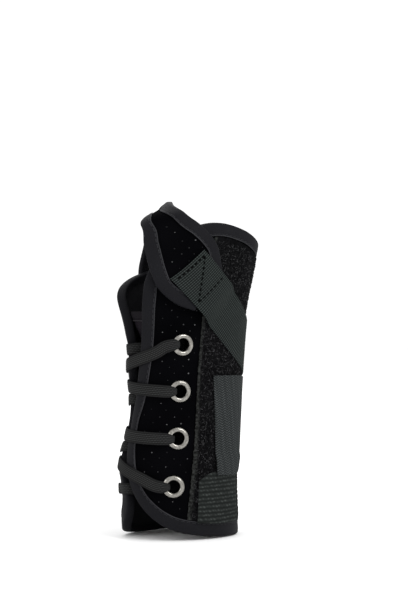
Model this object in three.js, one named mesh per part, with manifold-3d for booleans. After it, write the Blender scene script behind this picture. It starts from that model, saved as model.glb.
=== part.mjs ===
// Lace-up wrist brace for a right hand, in millimetres.
// +Z runs along the forearm to the fingers, -Y faces out from the back of the hand and -X lies on the
// thumb side. The origin is the middle of the wrist.
// Every piece is drawn flat first: s is the arc length round the arm from the middle of the back
// (positive towards the little finger), z is the height, and lift is the distance from the inner face.
import * as THREE from 'three';
import Module from 'manifold-3d';

const wasm = await Module();
wasm.setup();

// Thicknesses, widths and clearances
const GAP = 0.3;
const SEWN_GAP = 0.5;
const WALL = 3.0;
const TAPE = 0.7;
const TAPE_WIDTH = 8.2;
const THUMB_TAPE_WIDTH = 8.8;
const FLAP_TAPE = 0.5;
const FLAP_GAP = 0.7;
const FLAP_THICK = 1.0;
const LOOP_THICK = 1.1;
const ELASTIC_THICK = 0.7;
const STRAP_THICK = 1.1;
const STRAP_WIDTH = 29;
const PULL_WIDTH = 32;
const TONGUE_THICK = 1.1;
const HEM_TAPE = 0.5;
const HEM_WIDTH = 6;
const LACE_WIDTH = 7.4;
const LACE_THICK = 1.0;
const LACE_IN_HOLE = 4.0;
const LACE_STEP = 4.5;
const EYELET_HOLE = 4.7;

// Lifts of the layers, from the inner face outwards
const TAPE_TOP = WALL + SEWN_GAP + TAPE;
const LOOP_BASE = WALL + SEWN_GAP;
const ON_LOOP = LOOP_BASE + LOOP_THICK + GAP;
const FLAP_BASE = ON_LOOP + FLAP_TAPE + FLAP_GAP;
const FLAP_TOP = FLAP_BASE + FLAP_THICK;
const ON_FLAP = FLAP_TOP + FLAP_GAP + FLAP_TAPE + GAP;
const ON_LACE = WALL + 3 * GAP + LACE_THICK;
const ON_TAB = ON_LOOP + STRAP_THICK + SEWN_GAP;
const TONGUE_BASE = -5.4;
const TONGUE_HIGH = -3.7;
const LACE_INSIDE = -2.9;

// Inner face of the brace, a rounded oval at each level
// columns: level z, half width, half depth, middle x, middle y
const FORM = [
  [-85, 32.4, 25.5, -3.2, 1.5],
  [-55, 32.6, 24.5, -4.2, 1.5],
  [-15, 32.5, 21.0, -1.2, 0.5],
  [15, 34.6, 20.5, -1.1, 0.0],
  [45, 37.0, 19.5, -0.5, -1.5],
  [70, 38.4, 16.5, 4.6, -3.0],
  [95, 36.9, 13.5, 9.1, -4.5],
  [100.5, 34.2, 13.2, 10.8, -4.8],
  [106, 28.6, 12.8, 15.7, -5.0],
  [112, 24.0, 12.3, 20.0, -5.2],
  [118, 22.5, 12.0, 21.5, -5.5],
];
const FORM_POWER = 2.2;

// Places where the cloth stands out from the oval, or is drawn in
// columns: amount, centre s, centre z, reach in s, reach in z
const BULGES = [
  [11, -68, 62, 26, 19],
  [1.8, -62, -52, 16, 18],
  [-1.4, -58, -8, 16, 20],
];

// Seam between the two panels, as an angle round the arm from the middle of the back
const SEAM_ANGLE = 97;

// Outer edge of the dorsal panel from the hem, up the lacing edge, to the top; columns: s, z
const DORSAL_HEM_Z = -88.5;
const DORSAL_TOP_Z = 84;
const DORSAL_EDGE = [
  [17.8, -88.5],
  [-10.2, -86.2],
  [-26.1, -82.0],
  [-38.3, -72.0],
  [-47.4, -56.5],
  [-50.8, -38.0],
  [-49.6, -19.5],
  [-45.1, -4.5],
  [-42.8, 10.0],
  [-41.5, 24.5],
  [-41.3, 51.5],
  [-41.2, 64.0],
  [-38.5, 77.0],
  [-32.0, 87.0],
  [-14.4, 96.0],
  [0.0, 97.5],
  [20.0, 93.5],
];

// Outer edge of the palmar panel, drawn the same way; columns: s, z
const PALMAR_TOP_Z = 82.5;
const PALMAR_EDGE = [
  [-100, -88.5],
  [-80, -88.5],
  [-67, -86.8],
  [-58, -82.5],
  [-52.2, -76.0],
  [-49.5, -68.0],
  [-51.2, -60.0],
  [-54.7, -51.0],
  [-57.2, -40.0],
  [-56.5, -27.0],
  [-53.6, -12.0],
  [-51.8, 4.0],
  [-51.8, 24.0],
  [-54.0, 41.0],
  [-59.0, 54.0],
  [-68.0, 64.0],
  [-80.0, 70.0],
  [-94.0, 73.5],
  [-108.0, 76.0],
];

// Where the long edges turn into hem and top, as shares of the edge length
const DORSAL_CORNERS = [0.31, 0.71];
const PALMAR_CORNERS = [0.27, 0.66];

// Left edge of the loop panel, hem to top; columns: s, z
const LOOP_EDGE = [
  [-16.2, -79.0],
  [-12.5, -48.5],
  [-10.0, 4.5],
  [-7.9, 34.5],
  [-4.5, 90.0],
];

// Long edges of the web flap, from its end on the back to its root on the palm; columns: s, z
const FLAP_THUMB_EDGE = [
  [-15.4, 45.2],
  [-24.3, 48.2],
  [-30.5, 52.5],
  [-35.6, 58.5],
  [-39.1, 67.5],
  [-42.3, 83.5],
  [-43.3, 92.0],
  [-46.0, 97.2],
  [-49.0, 99.8],
  [-53.0, 98.5],
  [-57.5, 94.5],
  [-61.8, 89.5],
  [-67.0, 82.5],
  [-72.5, 74.5],
  [-78.0, 65.5],
  [-83.0, 56.0],
];
const FLAP_FINGER_EDGE = [
  [0.8, 67.0],
  [-4.6, 83.0],
  [-9.5, 89.0],
  [-18.0, 96.0],
  [-25.8, 101.5],
  [-29.0, 106.0],
  [-34.0, 110.3],
  [-38.0, 110.4],
  [-44.0, 109.0],
  [-52.0, 106.7],
  [-61.0, 104.0],
  [-72.0, 98.3],
  [-83.0, 90.0],
  [-93.0, 80.0],
  [-101.0, 69.0],
];

// Shares of the thumb edge and the finger edge where the flap folds over the web of the thumb
const FLAP_FOLD = [0.536, 0.42];

// Middle line of the webbing strap with its lift; columns: s, z, lift
const WEB_STRAP = [
  [-23.2, 72.3, ON_FLAP],
  [-13.2, 62.7, ON_FLAP],
  [-2.4, 52.7, ON_FLAP],
  [6.5, 45.0, ON_LOOP],
  [24.0, 29.5, ON_LOOP],
  [36.0, 21.5, ON_LOOP],
  [46.0, 16.5, ON_LOOP],
];

// Middle line of the pull strap with its lift, from the tab to the lace ends; columns: s, z, lift
const PULL_STRAP = [
  [37.5, -21, ON_TAB],
  [42.5, -21, ON_TAB],
  [46.5, -21, ON_LOOP],
  [48.5, -21, ON_LOOP],
  [53.5, -21, WALL + GAP],
  [67.0, -21, WALL + GAP],
  [74.0, -21, ON_LACE],
  [84.0, -21, ON_LACE],
];

// Outline of the pull tab; columns: s, z
const TAB_LEFT = [[2.8, -51.5], [1.4, -25.0], [0.0, 7.0]];
const TAB_RIGHT = [[41.5, -36.5], [41.5, 1.5]];
const TAB_BOTTOM = [[2.8, -51.5], [16.0, -52.2], [21.0, -51.4], [28.0, -39.0], [41.5, -36.5]];
const TAB_TOP = [[0.0, 7.0], [20.0, 6.6], [31.0, 5.4], [41.5, 1.5]];

// Outline of the elastic patch; columns: s, z
const ELASTIC_LEFT = [[-11.0, -78.6], [-9.7, -64.0], [-9.1, -54.5]];
const ELASTIC_RIGHT = [[23.0, -80.0], [23.0, -51.0]];
const ELASTIC_BOTTOM = [[-11.0, -78.6], [6.0, -80.0], [23.0, -80.0]];
const ELASTIC_TOP = [[-9.1, -54.5], [-5.6, -52.0], [-2.0, -50.2], [3.0, -49.4], [11.0, -49.6], [23.0, -51.0]];

// Tongue under the lacing gap, sewn inside the palmar panel along its far side
const TONGUE_NEAR = -30;
const TONGUE_FREE = -81;
const TONGUE_SEWN = -86;
const TONGUE_FAR = -93;
const TONGUE_HEM_END = -69;
const TONGUE_BOTTOM = -60;
const TONGUE_TOP = 44;

// Lacing rows from the top down
// columns: near eyelet s, z, far eyelet s, z, bar z beside the far eyelet, lace end z on the pull strap
const LACING = [
  [-19.3, 25.5, -67.0, 21.8, 12.0, -9],
  [-20.3, -1.8, -67.8, -8.5, 0.7, -17],
  [-20.9, -29.5, -72.2, -36.5, -27.2, -25],
  [-22.8, -57.3, -67.3, -60.0, -45.0, -33],
];
const LACE_START = -98;

// Eyelet section, one closed outline; columns: radius, lift
const EYELET = [
  [3.5, -1.8],
  [5.4, -1.8],
  [5.4, -1.1],
  [4.3, -1.1],
  [4.3, WALL + 0.5],
  [6.6, WALL + 0.5],
  [6.0, WALL + 1.2],
  [4.9, WALL + 1.4],
  [3.5, WALL + 0.3],
];

// Facets of the large sheets
const PANEL_COLUMNS = 16;
const PANEL_ROWS = 14;
const FLAP_COLUMNS = 30;
const EYELET_SIDES = 10;

// Base colours
const SUEDE = 0x17171a;
const TAPE_GREY = 0x2b2b2f;
const LOOP_BLACK = 0x1d1d20;
const WEBBING = 0x3b413e;
const HERRINGBONE = 0x5a5d60;
const ELASTIC = 0x474c4a;
const LACE_GREY = 0x3c3c3e;
const NICKEL = 0xc9c5bc;
const TONGUE_DARK = 0x232026;

const clamp = THREE.MathUtils.clamp;
const lerp = THREE.MathUtils.lerp;

// Oval at height z, by a smooth cubic through the rows of the form table
function ovalAt(z) {
  const last = FORM.length - 1;
  const level = clamp(z, FORM[0][0], FORM[last][0]);
  let i = 0;
  while (i < last - 1 && level >= FORM[i + 1][0]) {
    i += 1;
  }
  const span = FORM[i + 1][0] - FORM[i][0];
  const t = (level - FORM[i][0]) / span;
  const slope = (row, column) => {
    const before = FORM[Math.max(row - 1, 0)];
    const after = FORM[Math.min(row + 1, last)];
    return (after[column] - before[column]) / (after[0] - before[0]);
  };
  const value = (column) =>
    (2 * t ** 3 - 3 * t ** 2 + 1) * FORM[i][column] +
    (t ** 3 - 2 * t ** 2 + t) * span * slope(i, column) +
    (3 * t ** 2 - 2 * t ** 3) * FORM[i + 1][column] +
    (t ** 3 - t ** 2) * span * slope(i + 1, column);
  return { a: value(1), b: value(2), x: value(3), y: value(4) };
}

function onOval(oval, degrees) {
  const angle = THREE.MathUtils.degToRad(degrees);
  const across = Math.sin(angle);
  const along = Math.cos(angle);
  const power = Math.abs(across) ** FORM_POWER + Math.abs(along) ** FORM_POWER;
  const radius = power ** (-1 / FORM_POWER);
  return [oval.a * across * radius, -oval.b * along * radius];
}

// Arc length round the oval from the middle of the back to an angle
function arcTo(degrees, z) {
  const oval = ovalAt(z);
  const steps = Math.ceil(Math.abs(degrees));
  let length = 0;
  let before = onOval(oval, 0);
  for (let k = 1; k <= steps; k += 1) {
    const after = onOval(oval, (degrees * k) / steps);
    length += Math.hypot(after[0] - before[0], after[1] - before[1]);
    before = after;
  }
  return length * Math.sign(degrees);
}

// Angle round the oval at arc length s, by walking round in whole degrees
function angleAt(oval, s) {
  const step = Math.sign(s) || 1;
  let left = Math.abs(s);
  let degrees = 0;
  let before = onOval(oval, 0);
  for (;;) {
    const after = onOval(oval, degrees + step);
    const length = Math.hypot(after[0] - before[0], after[1] - before[1]);
    if (length >= left) {
      return degrees + (step * left) / length;
    }
    left -= length;
    degrees += step;
    before = after;
  }
}

function bulgeAt(s, z) {
  let amount = 0;
  for (const [height, s0, z0, reachS, reachZ] of BULGES) {
    amount += height * Math.exp(-(((s - s0) / reachS) ** 2) - ((z - z0) / reachZ) ** 2);
  }
  return amount;
}

// Flat place (s, z) and lift, brought onto the arm
function wrap(s, z, lift) {
  const oval = ovalAt(z);
  const [x, y] = onOval(oval, angleAt(oval, s));
  const normal = new THREE.Vector2(
    (Math.sign(x) * Math.abs(x / oval.a) ** (FORM_POWER - 1)) / oval.a,
    (Math.sign(y) * Math.abs(y / oval.b) ** (FORM_POWER - 1)) / oval.b,
  ).normalize();
  const out = lift + bulgeAt(s, z);
  return new THREE.Vector3(oval.x + x + normal.x * out, oval.y + y + normal.y * out, z);
}

function seamAt(z) {
  return arcTo(SEAM_ANGLE, z);
}

function palmSeamAt(z) {
  return arcTo(SEAM_ANGLE - 360, z) + GAP;
}

function signedVolume(points, faces) {
  let volume = 0;
  for (const [a, b, c] of faces) {
    volume += points[a].dot(new THREE.Vector3().crossVectors(points[b], points[c]));
  }
  return volume / 6;
}

function geometryFrom(points, faces) {
  const outward = signedVolume(points, faces) > 0;
  const index = faces.flatMap(([a, b, c]) => (outward ? [a, b, c] : [a, c, b]));
  const geometry = new THREE.BufferGeometry();
  geometry.setFromPoints(points);
  geometry.setIndex(index);
  return geometry;
}

function pushQuad(faces, a, b, c, d) {
  faces.push([a, b, c], [a, c, d]);
}

// Closed solid between an inner and an outer grid; place(u, v, outer) gives each point
function sheetSolid(columns, rows, place) {
  const points = [];
  const faces = [];
  const id = (i, j, outer) => (outer * (columns + 1) + i) * (rows + 1) + j;
  for (const outer of [0, 1]) {
    for (let i = 0; i <= columns; i += 1) {
      for (let j = 0; j <= rows; j += 1) {
        points.push(place(i / columns, j / rows, outer));
      }
    }
  }
  for (let i = 0; i < columns; i += 1) {
    for (let j = 0; j < rows; j += 1) {
      pushQuad(faces, id(i, j, 1), id(i + 1, j, 1), id(i + 1, j + 1, 1), id(i, j + 1, 1));
      pushQuad(faces, id(i, j, 0), id(i, j + 1, 0), id(i + 1, j + 1, 0), id(i + 1, j, 0));
    }
    pushQuad(faces, id(i + 1, 0, 1), id(i, 0, 1), id(i, 0, 0), id(i + 1, 0, 0));
    pushQuad(faces, id(i, rows, 1), id(i + 1, rows, 1), id(i + 1, rows, 0), id(i, rows, 0));
  }
  for (let j = 0; j < rows; j += 1) {
    pushQuad(faces, id(0, j, 1), id(0, j + 1, 1), id(0, j + 1, 0), id(0, j, 0));
    pushQuad(faces, id(columns, j + 1, 1), id(columns, j, 1), id(columns, j, 0), id(columns, j + 1, 0));
  }
  return geometryFrom(points, faces);
}

// Closed solid of an outline carried through the stations; place(t, p, q) gives each point
function sweepSolid(stations, outline, place) {
  const flat = outline.map(([p, q]) => new THREE.Vector2(p, q));
  if (THREE.ShapeUtils.isClockWise(flat)) {
    flat.reverse();
  }
  const count = flat.length;
  const points = [];
  const faces = [];
  for (const t of stations) {
    for (const { x, y } of flat) {
      points.push(place(t, x, y));
    }
  }
  const end = (stations.length - 1) * count;
  for (let k = 0; k < end; k += count) {
    for (let i = 0; i < count; i += 1) {
      const next = (i + 1) % count;
      pushQuad(faces, k + i, k + next, k + count + next, k + count + i);
    }
  }
  for (const [a, b, c] of THREE.ShapeUtils.triangulateShape(flat, [])) {
    faces.push([a, c, b], [end + a, end + b, end + c]);
  }
  return geometryFrom(points, faces);
}

// Closed ring of an outline turned round its middle; place(angle, radius, lift) gives each point
function ringSolid(segments, outline, place) {
  const count = outline.length;
  const points = [];
  const faces = [];
  for (let k = 0; k < segments; k += 1) {
    for (const [radius, lift] of outline) {
      points.push(place((2 * Math.PI * k) / segments, radius, lift));
    }
  }
  for (let k = 0; k < segments; k += 1) {
    const turn = (k + 1) % segments;
    for (let i = 0; i < count; i += 1) {
      const next = (i + 1) % count;
      pushQuad(faces, k * count + i, k * count + next, turn * count + next, turn * count + i);
    }
  }
  return geometryFrom(points, faces);
}

// Even shares from one value to another, the last left out
function shares(from, to, count) {
  return Array.from({ length: count }, (_, k) => lerp(from, to, k / count));
}

// Even shares from 0 to 1, drawn closer together towards the end
function crowded(share) {
  return share + 0.8 * share ** 4 * (1 - share);
}

// Smooth flat line through rows of (s, z); line(t, inset) steps to the given side of the travel
function flatLine(rows, side = 1) {
  const curve = new THREE.CatmullRomCurve3(
    rows.map(([s, z]) => new THREE.Vector3(s, z, 0)),
    false,
    'centripetal',
  );
  curve.arcLengthDivisions = 400;
  return (t, inset = 0) => {
    const place = curve.getPointAt(t);
    const way = curve.getTangentAt(t);
    return [place.x + side * way.y * inset, place.y - side * way.x * inset];
  };
}

// Flat patch filled in between four border lines that meet at the corners
function patch(bottom, top, left, right) {
  const corners = [bottom(0), bottom(1), top(0), top(1)];
  return (u, v) =>
    [0, 1].map((k) => {
      const ruled = lerp(bottom(u)[k], top(u)[k], v) + lerp(left(v)[k], right(v)[k], u);
      const low = lerp(corners[0][k], corners[1][k], u);
      const high = lerp(corners[2][k], corners[3][k], u);
      return ruled - lerp(low, high, v);
    });
}

function sheetOnPatch(columns, rows, flat, liftAt, thickness) {
  return sheetSolid(columns, rows, (u, v, outer) => {
    const [s, z] = flat(u, v);
    return wrap(s, z, liftAt(s, z) + outer * thickness);
  });
}

function toManifold(geometry) {
  const vertProperties = new Float32Array(geometry.attributes.position.array);
  const triVerts = new Uint32Array(geometry.index.array);
  return new wasm.Manifold(new wasm.Mesh({ numProp: 3, vertProperties, triVerts }));
}

function fromManifold(solid) {
  const mesh = solid.getMesh();
  const geometry = new THREE.BufferGeometry();
  geometry.setAttribute('position', new THREE.BufferAttribute(mesh.vertProperties, 3));
  geometry.setIndex(new THREE.BufferAttribute(mesh.triVerts, 1));
  return geometry;
}

// Flat disc frame on the wall: place(angle, radius, lift) about the normal at (s, z)
function discAt(s, z) {
  const middle = wrap(s, z, 0);
  const round = wrap(s + 1, z, 0).sub(wrap(s - 1, z, 0)).normalize();
  const up = wrap(s, z + 1, 0).sub(wrap(s, z - 1, 0)).normalize();
  const out = new THREE.Vector3().crossVectors(round, up).normalize();
  up.crossVectors(out, round);
  return (angle, radius, lift) =>
    middle
      .clone()
      .addScaledVector(round, radius * Math.cos(angle))
      .addScaledVector(up, radius * Math.sin(angle))
      .addScaledVector(out, lift);
}

// Straight pin through the wall at a flat place
function pinAt(s, z, radius) {
  const disc = discAt(s, z);
  const stations = [-4, WALL + 4];
  const outline = shares(0, 2 * Math.PI, EYELET_SIDES).map((angle) => [Math.cos(angle), Math.sin(angle)]);
  return toManifold(
    sweepSolid(stations, outline, (lift, p, q) => disc(Math.atan2(q, p), radius, lift)),
  );
}

// Padded panel inside its edge tape, with round holes for the eyelets
function panelSolid(edge, corners, seam, holes) {
  const inset = TAPE + GAP;
  const [low, high] = corners;
  const flat = patch(
    (u) => edge(low * (1 - u), inset),
    (u) => edge(lerp(high, 1, u), inset),
    (v) => edge(lerp(low, high, v), inset),
    (v) => {
      const [lowS, lowZ] = edge(0, inset);
      const [highS, highZ] = edge(1, inset);
      const z = lerp(lowZ, highZ, v);
      return [seam(z) + lerp(lowS - seam(lowZ), highS - seam(highZ), v), z];
    },
  );
  const crowdedFlat = (u, v) => flat(u, crowded(v));
  let solid = toManifold(sheetOnPatch(PANEL_COLUMNS, PANEL_ROWS, crowdedFlat, () => 0, WALL));
  for (const [s, z] of holes) {
    solid = solid.subtract(pinAt(s, z, EYELET_HOLE));
  }
  return fromManifold(solid);
}

// How much wider a strip lies on the outside of the bend than it is flat
function stretchOf(from, to, lift) {
  const flat = Math.hypot(to[0] - from[0], to[1] - from[1]);
  return wrap(...from, lift).distanceTo(wrap(...to, lift)) / flat;
}

// Folded tape: two leaves and the fold round an edge of the sheet between base and top
function foldedTape(stations, edge, base, top, tape, width, slack = SEWN_GAP) {
  const middle = (width + tape) / 2;
  const outer = top + slack + tape;
  const inner = base - slack - tape;
  const bevel = 0.8 * tape;
  const outline = [
    [width, outer - tape],
    [width, outer],
    [middle, outer],
    [bevel, outer],
    [0, outer - bevel],
    [0, inner],
    [middle, inner],
    [middle, inner + tape],
    [tape, inner + tape],
    [tape, outer - tape],
    [middle, outer - tape],
  ];
  return sweepSolid(stations, outline, (t, inset, lift) => {
    const stretch = stretchOf(edge(t), edge(t, width), outer);
    return wrap(...edge(t, inset / stretch), lift);
  });
}

// Band of even width along a middle line given with its lift
function bandSolid(columns, rows, path, width, thickness) {
  const middle = flatLine(path);
  const lengths = path.map(([s, z], i) => {
    const before = path[Math.max(i - 1, 0)];
    return Math.hypot(s - before[0], z - before[1]);
  });
  const total = lengths.reduce((sum, length) => sum + length, 0);
  const liftAlong = (t) => {
    let left = t * total;
    let i = 1;
    while (i < path.length - 1 && left > lengths[i]) {
      left -= lengths[i];
      i += 1;
    }
    return lerp(path[i - 1][2], path[i][2], THREE.MathUtils.smoothstep(left / lengths[i], 0, 1));
  };
  return sheetSolid(columns, rows, (u, v, outer) => {
    const lift = liftAlong(u);
    const stretch = stretchOf(middle(u, -width / 2), middle(u, width / 2), lift);
    return wrap(...middle(u, ((v - 0.5) * width) / stretch), lift + outer * thickness);
  });
}

function eyeletSolid(s, z) {
  return ringSolid(EYELET_SIDES, EYELET, discAt(s, z));
}

// Lace rows for one lacing row, from the pull strap to the hole of the far eyelet
// columns: s, z, lift, twist in degrees, width
function laceRun([nearS, nearZ, farS, farZ, barZ, endZ]) {
  const over = WALL + GAP + LACE_THICK / 2 + 0.1;
  const onTape = TAPE_TOP + GAP + LACE_THICK / 2 + 0.3;
  const onNear = onTape + 0.8;
  const onFar = onTape + 1.3;
  const narrow = LACE_IN_HOLE;
  const wide = LACE_WIDTH;
  const slim = LACE_WIDTH - 0.8;
  const crossZ = lerp(nearZ, farZ, 0.7);
  const nearEdge = dorsalEdge(shareAt(dorsalEdge, 1, crossZ, ...DORSAL_CORNERS))[0];
  const farEdge = palmarEdge(shareAt(palmarEdge, 1, crossZ, ...PALMAR_CORNERS))[0];
  return [
    [LACE_START, endZ, over, 0, wide],
    [LACE_START + 7, endZ, over, 0, wide],
    [LACE_START + 11.5, lerp(endZ, barZ, 0.15), over + 0.3, 0, wide],
    [-80, lerp(endZ, barZ, 0.6), onFar, 0, wide],
    [-72, lerp(endZ, barZ, 0.97), onFar, 0, wide],
    [-58, barZ, onFar, 0, wide],
    [nearEdge - 2, lerp(barZ, nearZ, 0.3), onTape + 0.4, 0, wide],
    [nearEdge + 8, lerp(barZ, nearZ, 0.65), onTape, 0, wide],
    [nearS - 9.5, lerp(barZ, nearZ, 0.92), onNear, 0, wide],
    [nearS - 4.0, nearZ, onNear, 0, narrow + 0.5],
    [nearS - 1.6, nearZ, WALL + 0.8, 0, narrow],
    [nearS - 1.4, nearZ, 1.2, 0, narrow],
    [nearS - 1.6, nearZ, -1.4, 0, narrow],
    [nearS - 3.8, nearZ, LACE_INSIDE, 0, narrow + 0.6],
    [nearS - 9, lerp(nearZ, crossZ, 0.4), LACE_INSIDE, 0, wide],
    [nearEdge + 3, crossZ, LACE_INSIDE, 0, wide],
    [lerp(nearEdge, farEdge, 0.3), crossZ, LACE_INSIDE + 0.9, 0, wide],
    [lerp(nearEdge, farEdge, 0.5), crossZ, 1.4, 0, wide],
    [lerp(nearEdge, farEdge, 0.76), lerp(crossZ, farZ, 0.3), onTape - 0.5, 0, slim],
    [farEdge - 3, lerp(crossZ, farZ, 0.6), onTape + 0.2, 0, slim],
    [farS + 8, farZ, onFar, 0, slim],
    [farS + 3.8, farZ, onFar + 0.5, 0, narrow],
    [farS + 1.0, farZ, WALL + 1.0, 0, narrow],
    [farS + 0.6, farZ, 1.2, 30, narrow],
  ];
}

// One lace through two lacing rows, joined by a run inside the palmar panel
function laceRows(upper, lower) {
  const [, , upperS, upperZ] = upper;
  const [, , lowerS, lowerZ] = lower;
  const between = (share) => [lerp(upperS, lowerS, share), lerp(upperZ, lowerZ, share)];
  const joint = [
    [upperS + 0.4, upperZ - 0.3, -1.9, 80, LACE_IN_HOLE],
    [upperS, upperZ - 3.6, LACE_INSIDE - 0.2, 90, LACE_IN_HOLE + 0.6],
    [...between(0.35), LACE_INSIDE, 90, LACE_WIDTH],
    [...between(0.65), LACE_INSIDE, 90, LACE_WIDTH],
    [lowerS, lowerZ + 3.6, LACE_INSIDE - 0.2, 90, LACE_IN_HOLE + 0.6],
    [lowerS + 0.4, lowerZ + 0.3, -1.9, 100, LACE_IN_HOLE],
  ];
  const back = laceRun(lower)
    .reverse()
    .map(([s, z, lift, twist, width]) => [s, z, lift, 180 - twist, width]);
  return [...laceRun(upper), ...joint, ...back];
}

function laceSolid(rows) {
  const last = rows.length - 1;
  const places = new THREE.CatmullRomCurve3(
    rows.map(([s, z, lift]) => new THREE.Vector3(s, z, lift)),
    false,
    'centripetal',
  );
  const stations = [];
  for (let k = 0; k < last; k += 1) {
    const length = Math.hypot(rows[k + 1][0] - rows[k][0], rows[k + 1][1] - rows[k][1]);
    stations.push(...shares(k / last, (k + 1) / last, Math.max(1, Math.round(length / LACE_STEP))));
  }
  stations.push(1);
  const valueAt = (t, column) => {
    const k = Math.min(Math.floor(t * last), last - 1);
    return lerp(rows[k][column], rows[k + 1][column], t * last - k);
  };
  const placeAt = (t) => wrap(...places.getPoint(clamp(t, 0, 1)).toArray());
  const outline = [[-1, -1], [1, -1], [1, 1], [-1, 1]];
  return sweepSolid(stations, outline, (t, p, q) => {
    const [s, z, lift] = places.getPoint(t).toArray();
    const middle = wrap(s, z, lift);
    const along = placeAt(t + 0.002).sub(placeAt(t - 0.002)).normalize();
    const round = wrap(s + 0.5, z, lift).sub(wrap(s - 0.5, z, lift)).normalize();
    const up = wrap(s, z + 0.5, lift).sub(wrap(s, z - 0.5, lift)).normalize();
    const twist = THREE.MathUtils.degToRad(valueAt(t, 3));
    const across = up.multiplyScalar(Math.cos(twist)).addScaledVector(round, Math.sin(twist));
    across.addScaledVector(along, -across.dot(along)).normalize();
    const face = new THREE.Vector3().crossVectors(along, across);
    middle.addScaledVector(across, (p * valueAt(t, 4)) / 2);
    return middle.addScaledVector(face, (q * LACE_THICK) / 2);
  });
}

// Share of the way along a line where its s (axis 0) or z (axis 1) reaches a value
function shareAt(line, axis, value, from, to, inset = 0) {
  let low = from;
  let high = to;
  const rising = line(to, inset)[axis] > line(from, inset)[axis];
  for (let k = 0; k < 40; k += 1) {
    const middle = (low + high) / 2;
    if (line(middle, inset)[axis] < value === rising) {
      low = middle;
    } else {
      high = middle;
    }
  }
  return (low + high) / 2;
}

// Loop fabric from its left edge to the seam, between the inner edges of the tape
function loopSolid(edge) {
  const inset = TAPE_WIDTH + GAP;
  const [low, high] = DORSAL_CORNERS;
  const hemShare = shareAt(edge, 0, LOOP_EDGE[0][0], 0, low, inset);
  const topShare = shareAt(edge, 0, LOOP_EDGE[LOOP_EDGE.length - 1][0], high, 1, inset);
  const inner = LOOP_EDGE.slice(1, -1);
  const left = flatLine([edge(hemShare, inset), ...inner, edge(topShare, inset)]);
  const flat = patch(
    (u) => edge(hemShare * (1 - u), inset),
    (u) => edge(lerp(topShare, 1, u), inset),
    left,
    (v) => {
      const z = lerp(edge(0, inset)[1], edge(1, inset)[1], v);
      return [lerp(edge(0, inset)[0], edge(1, inset)[0], v), z];
    },
  );
  return sheetOnPatch(12, 11, flat, () => LOOP_BASE, LOOP_THICK);
}

// The tongue lies under the laces, comes up nearer the panels above them, and meets the palmar panel
function tongueLift(s, z) {
  const base = lerp(TONGUE_BASE, TONGUE_HIGH, THREE.MathUtils.smoothstep(z, 30, 37));
  const sewn = THREE.MathUtils.smoothstep(-s, -TONGUE_FREE, -TONGUE_SEWN);
  return lerp(base, -SEWN_GAP - TONGUE_THICK, sewn);
}

const group = new THREE.Group();
group.name = 'wrist_brace';

function add(name, geometry, color, metalness = 0) {
  const material = new THREE.MeshStandardMaterial({ color, metalness, roughness: 0.8 - 0.5 * metalness });
  const mesh = new THREE.Mesh(geometry, material);
  mesh.name = name;
  group.add(mesh);
}

const dorsalEdge = flatLine([
  [seamAt(DORSAL_HEM_Z), DORSAL_HEM_Z],
  ...DORSAL_EDGE,
  [seamAt(DORSAL_TOP_Z), DORSAL_TOP_Z],
]);
const palmarEdge = flatLine(
  [
    [palmSeamAt(DORSAL_HEM_Z), DORSAL_HEM_Z],
    ...PALMAR_EDGE,
    [palmSeamAt(PALMAR_TOP_Z), PALMAR_TOP_Z],
  ],
  -1,
);
const nearHoles = LACING.map(([s, z]) => [s, z]);
const farHoles = LACING.map((row) => [row[2], row[3]]);

const panelParts = [
  ['dorsal', dorsalEdge, DORSAL_CORNERS, seamAt, nearHoles],
  ['palmar', palmarEdge, PALMAR_CORNERS, palmSeamAt, farHoles],
];
for (const [name, edge, corners, seam, holes] of panelParts) {
  const [low, high] = corners;
  const stations = [
    ...shares(0, low, PANEL_COLUMNS),
    ...shares(0, 1, PANEL_ROWS).map((v) => lerp(low, high, crowded(v))),
    ...shares(high, 1, PANEL_COLUMNS),
    1,
  ];
  add(`${name}_panel`, panelSolid(edge, corners, seam, holes), SUEDE);
  add(`${name}_binding`, foldedTape(stations, edge, 0, WALL, TAPE, TAPE_WIDTH), TAPE_GREY);
}
add('loop_panel', loopSolid(dorsalEdge), LOOP_BLACK);

const thumbEdge = flatLine(FLAP_THUMB_EDGE);
const fingerEdge = flatLine(FLAP_FINGER_EDGE, -1);
const flapInset = FLAP_TAPE + FLAP_GAP;
const fromFold = (away) => away * (0.35 + 0.65 * away);
const foldedShare = (u, fold) =>
  u < 0.5 ? fold * (1 - fromFold(1 - 2 * u)) : lerp(fold, 1, fromFold(2 * u - 1));
const flapFlat = (u, v) => {
  const low = thumbEdge(foldedShare(u, FLAP_FOLD[0]), flapInset);
  const high = fingerEdge(foldedShare(u, FLAP_FOLD[1]), flapInset);
  return [lerp(low[0], high[0], v), lerp(low[1], high[1], v)];
};
add('web_flap', sheetOnPatch(FLAP_COLUMNS, 5, flapFlat, () => FLAP_BASE, FLAP_THICK), SUEDE);
const flapTapes = [
  ['thumb', thumbEdge, FLAP_FOLD[0], THUMB_TAPE_WIDTH],
  ['finger', fingerEdge, FLAP_FOLD[1], TAPE_WIDTH],
];
for (const [name, edge, fold, width] of flapTapes) {
  const stations = [...shares(0, 1, FLAP_COLUMNS), 1].map((u) => foldedShare(u, fold));
  add(
    `flap_binding_${name}`,
    foldedTape(stations, edge, FLAP_BASE, FLAP_TOP, FLAP_TAPE, width, FLAP_GAP),
    TAPE_GREY,
  );
}

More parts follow.
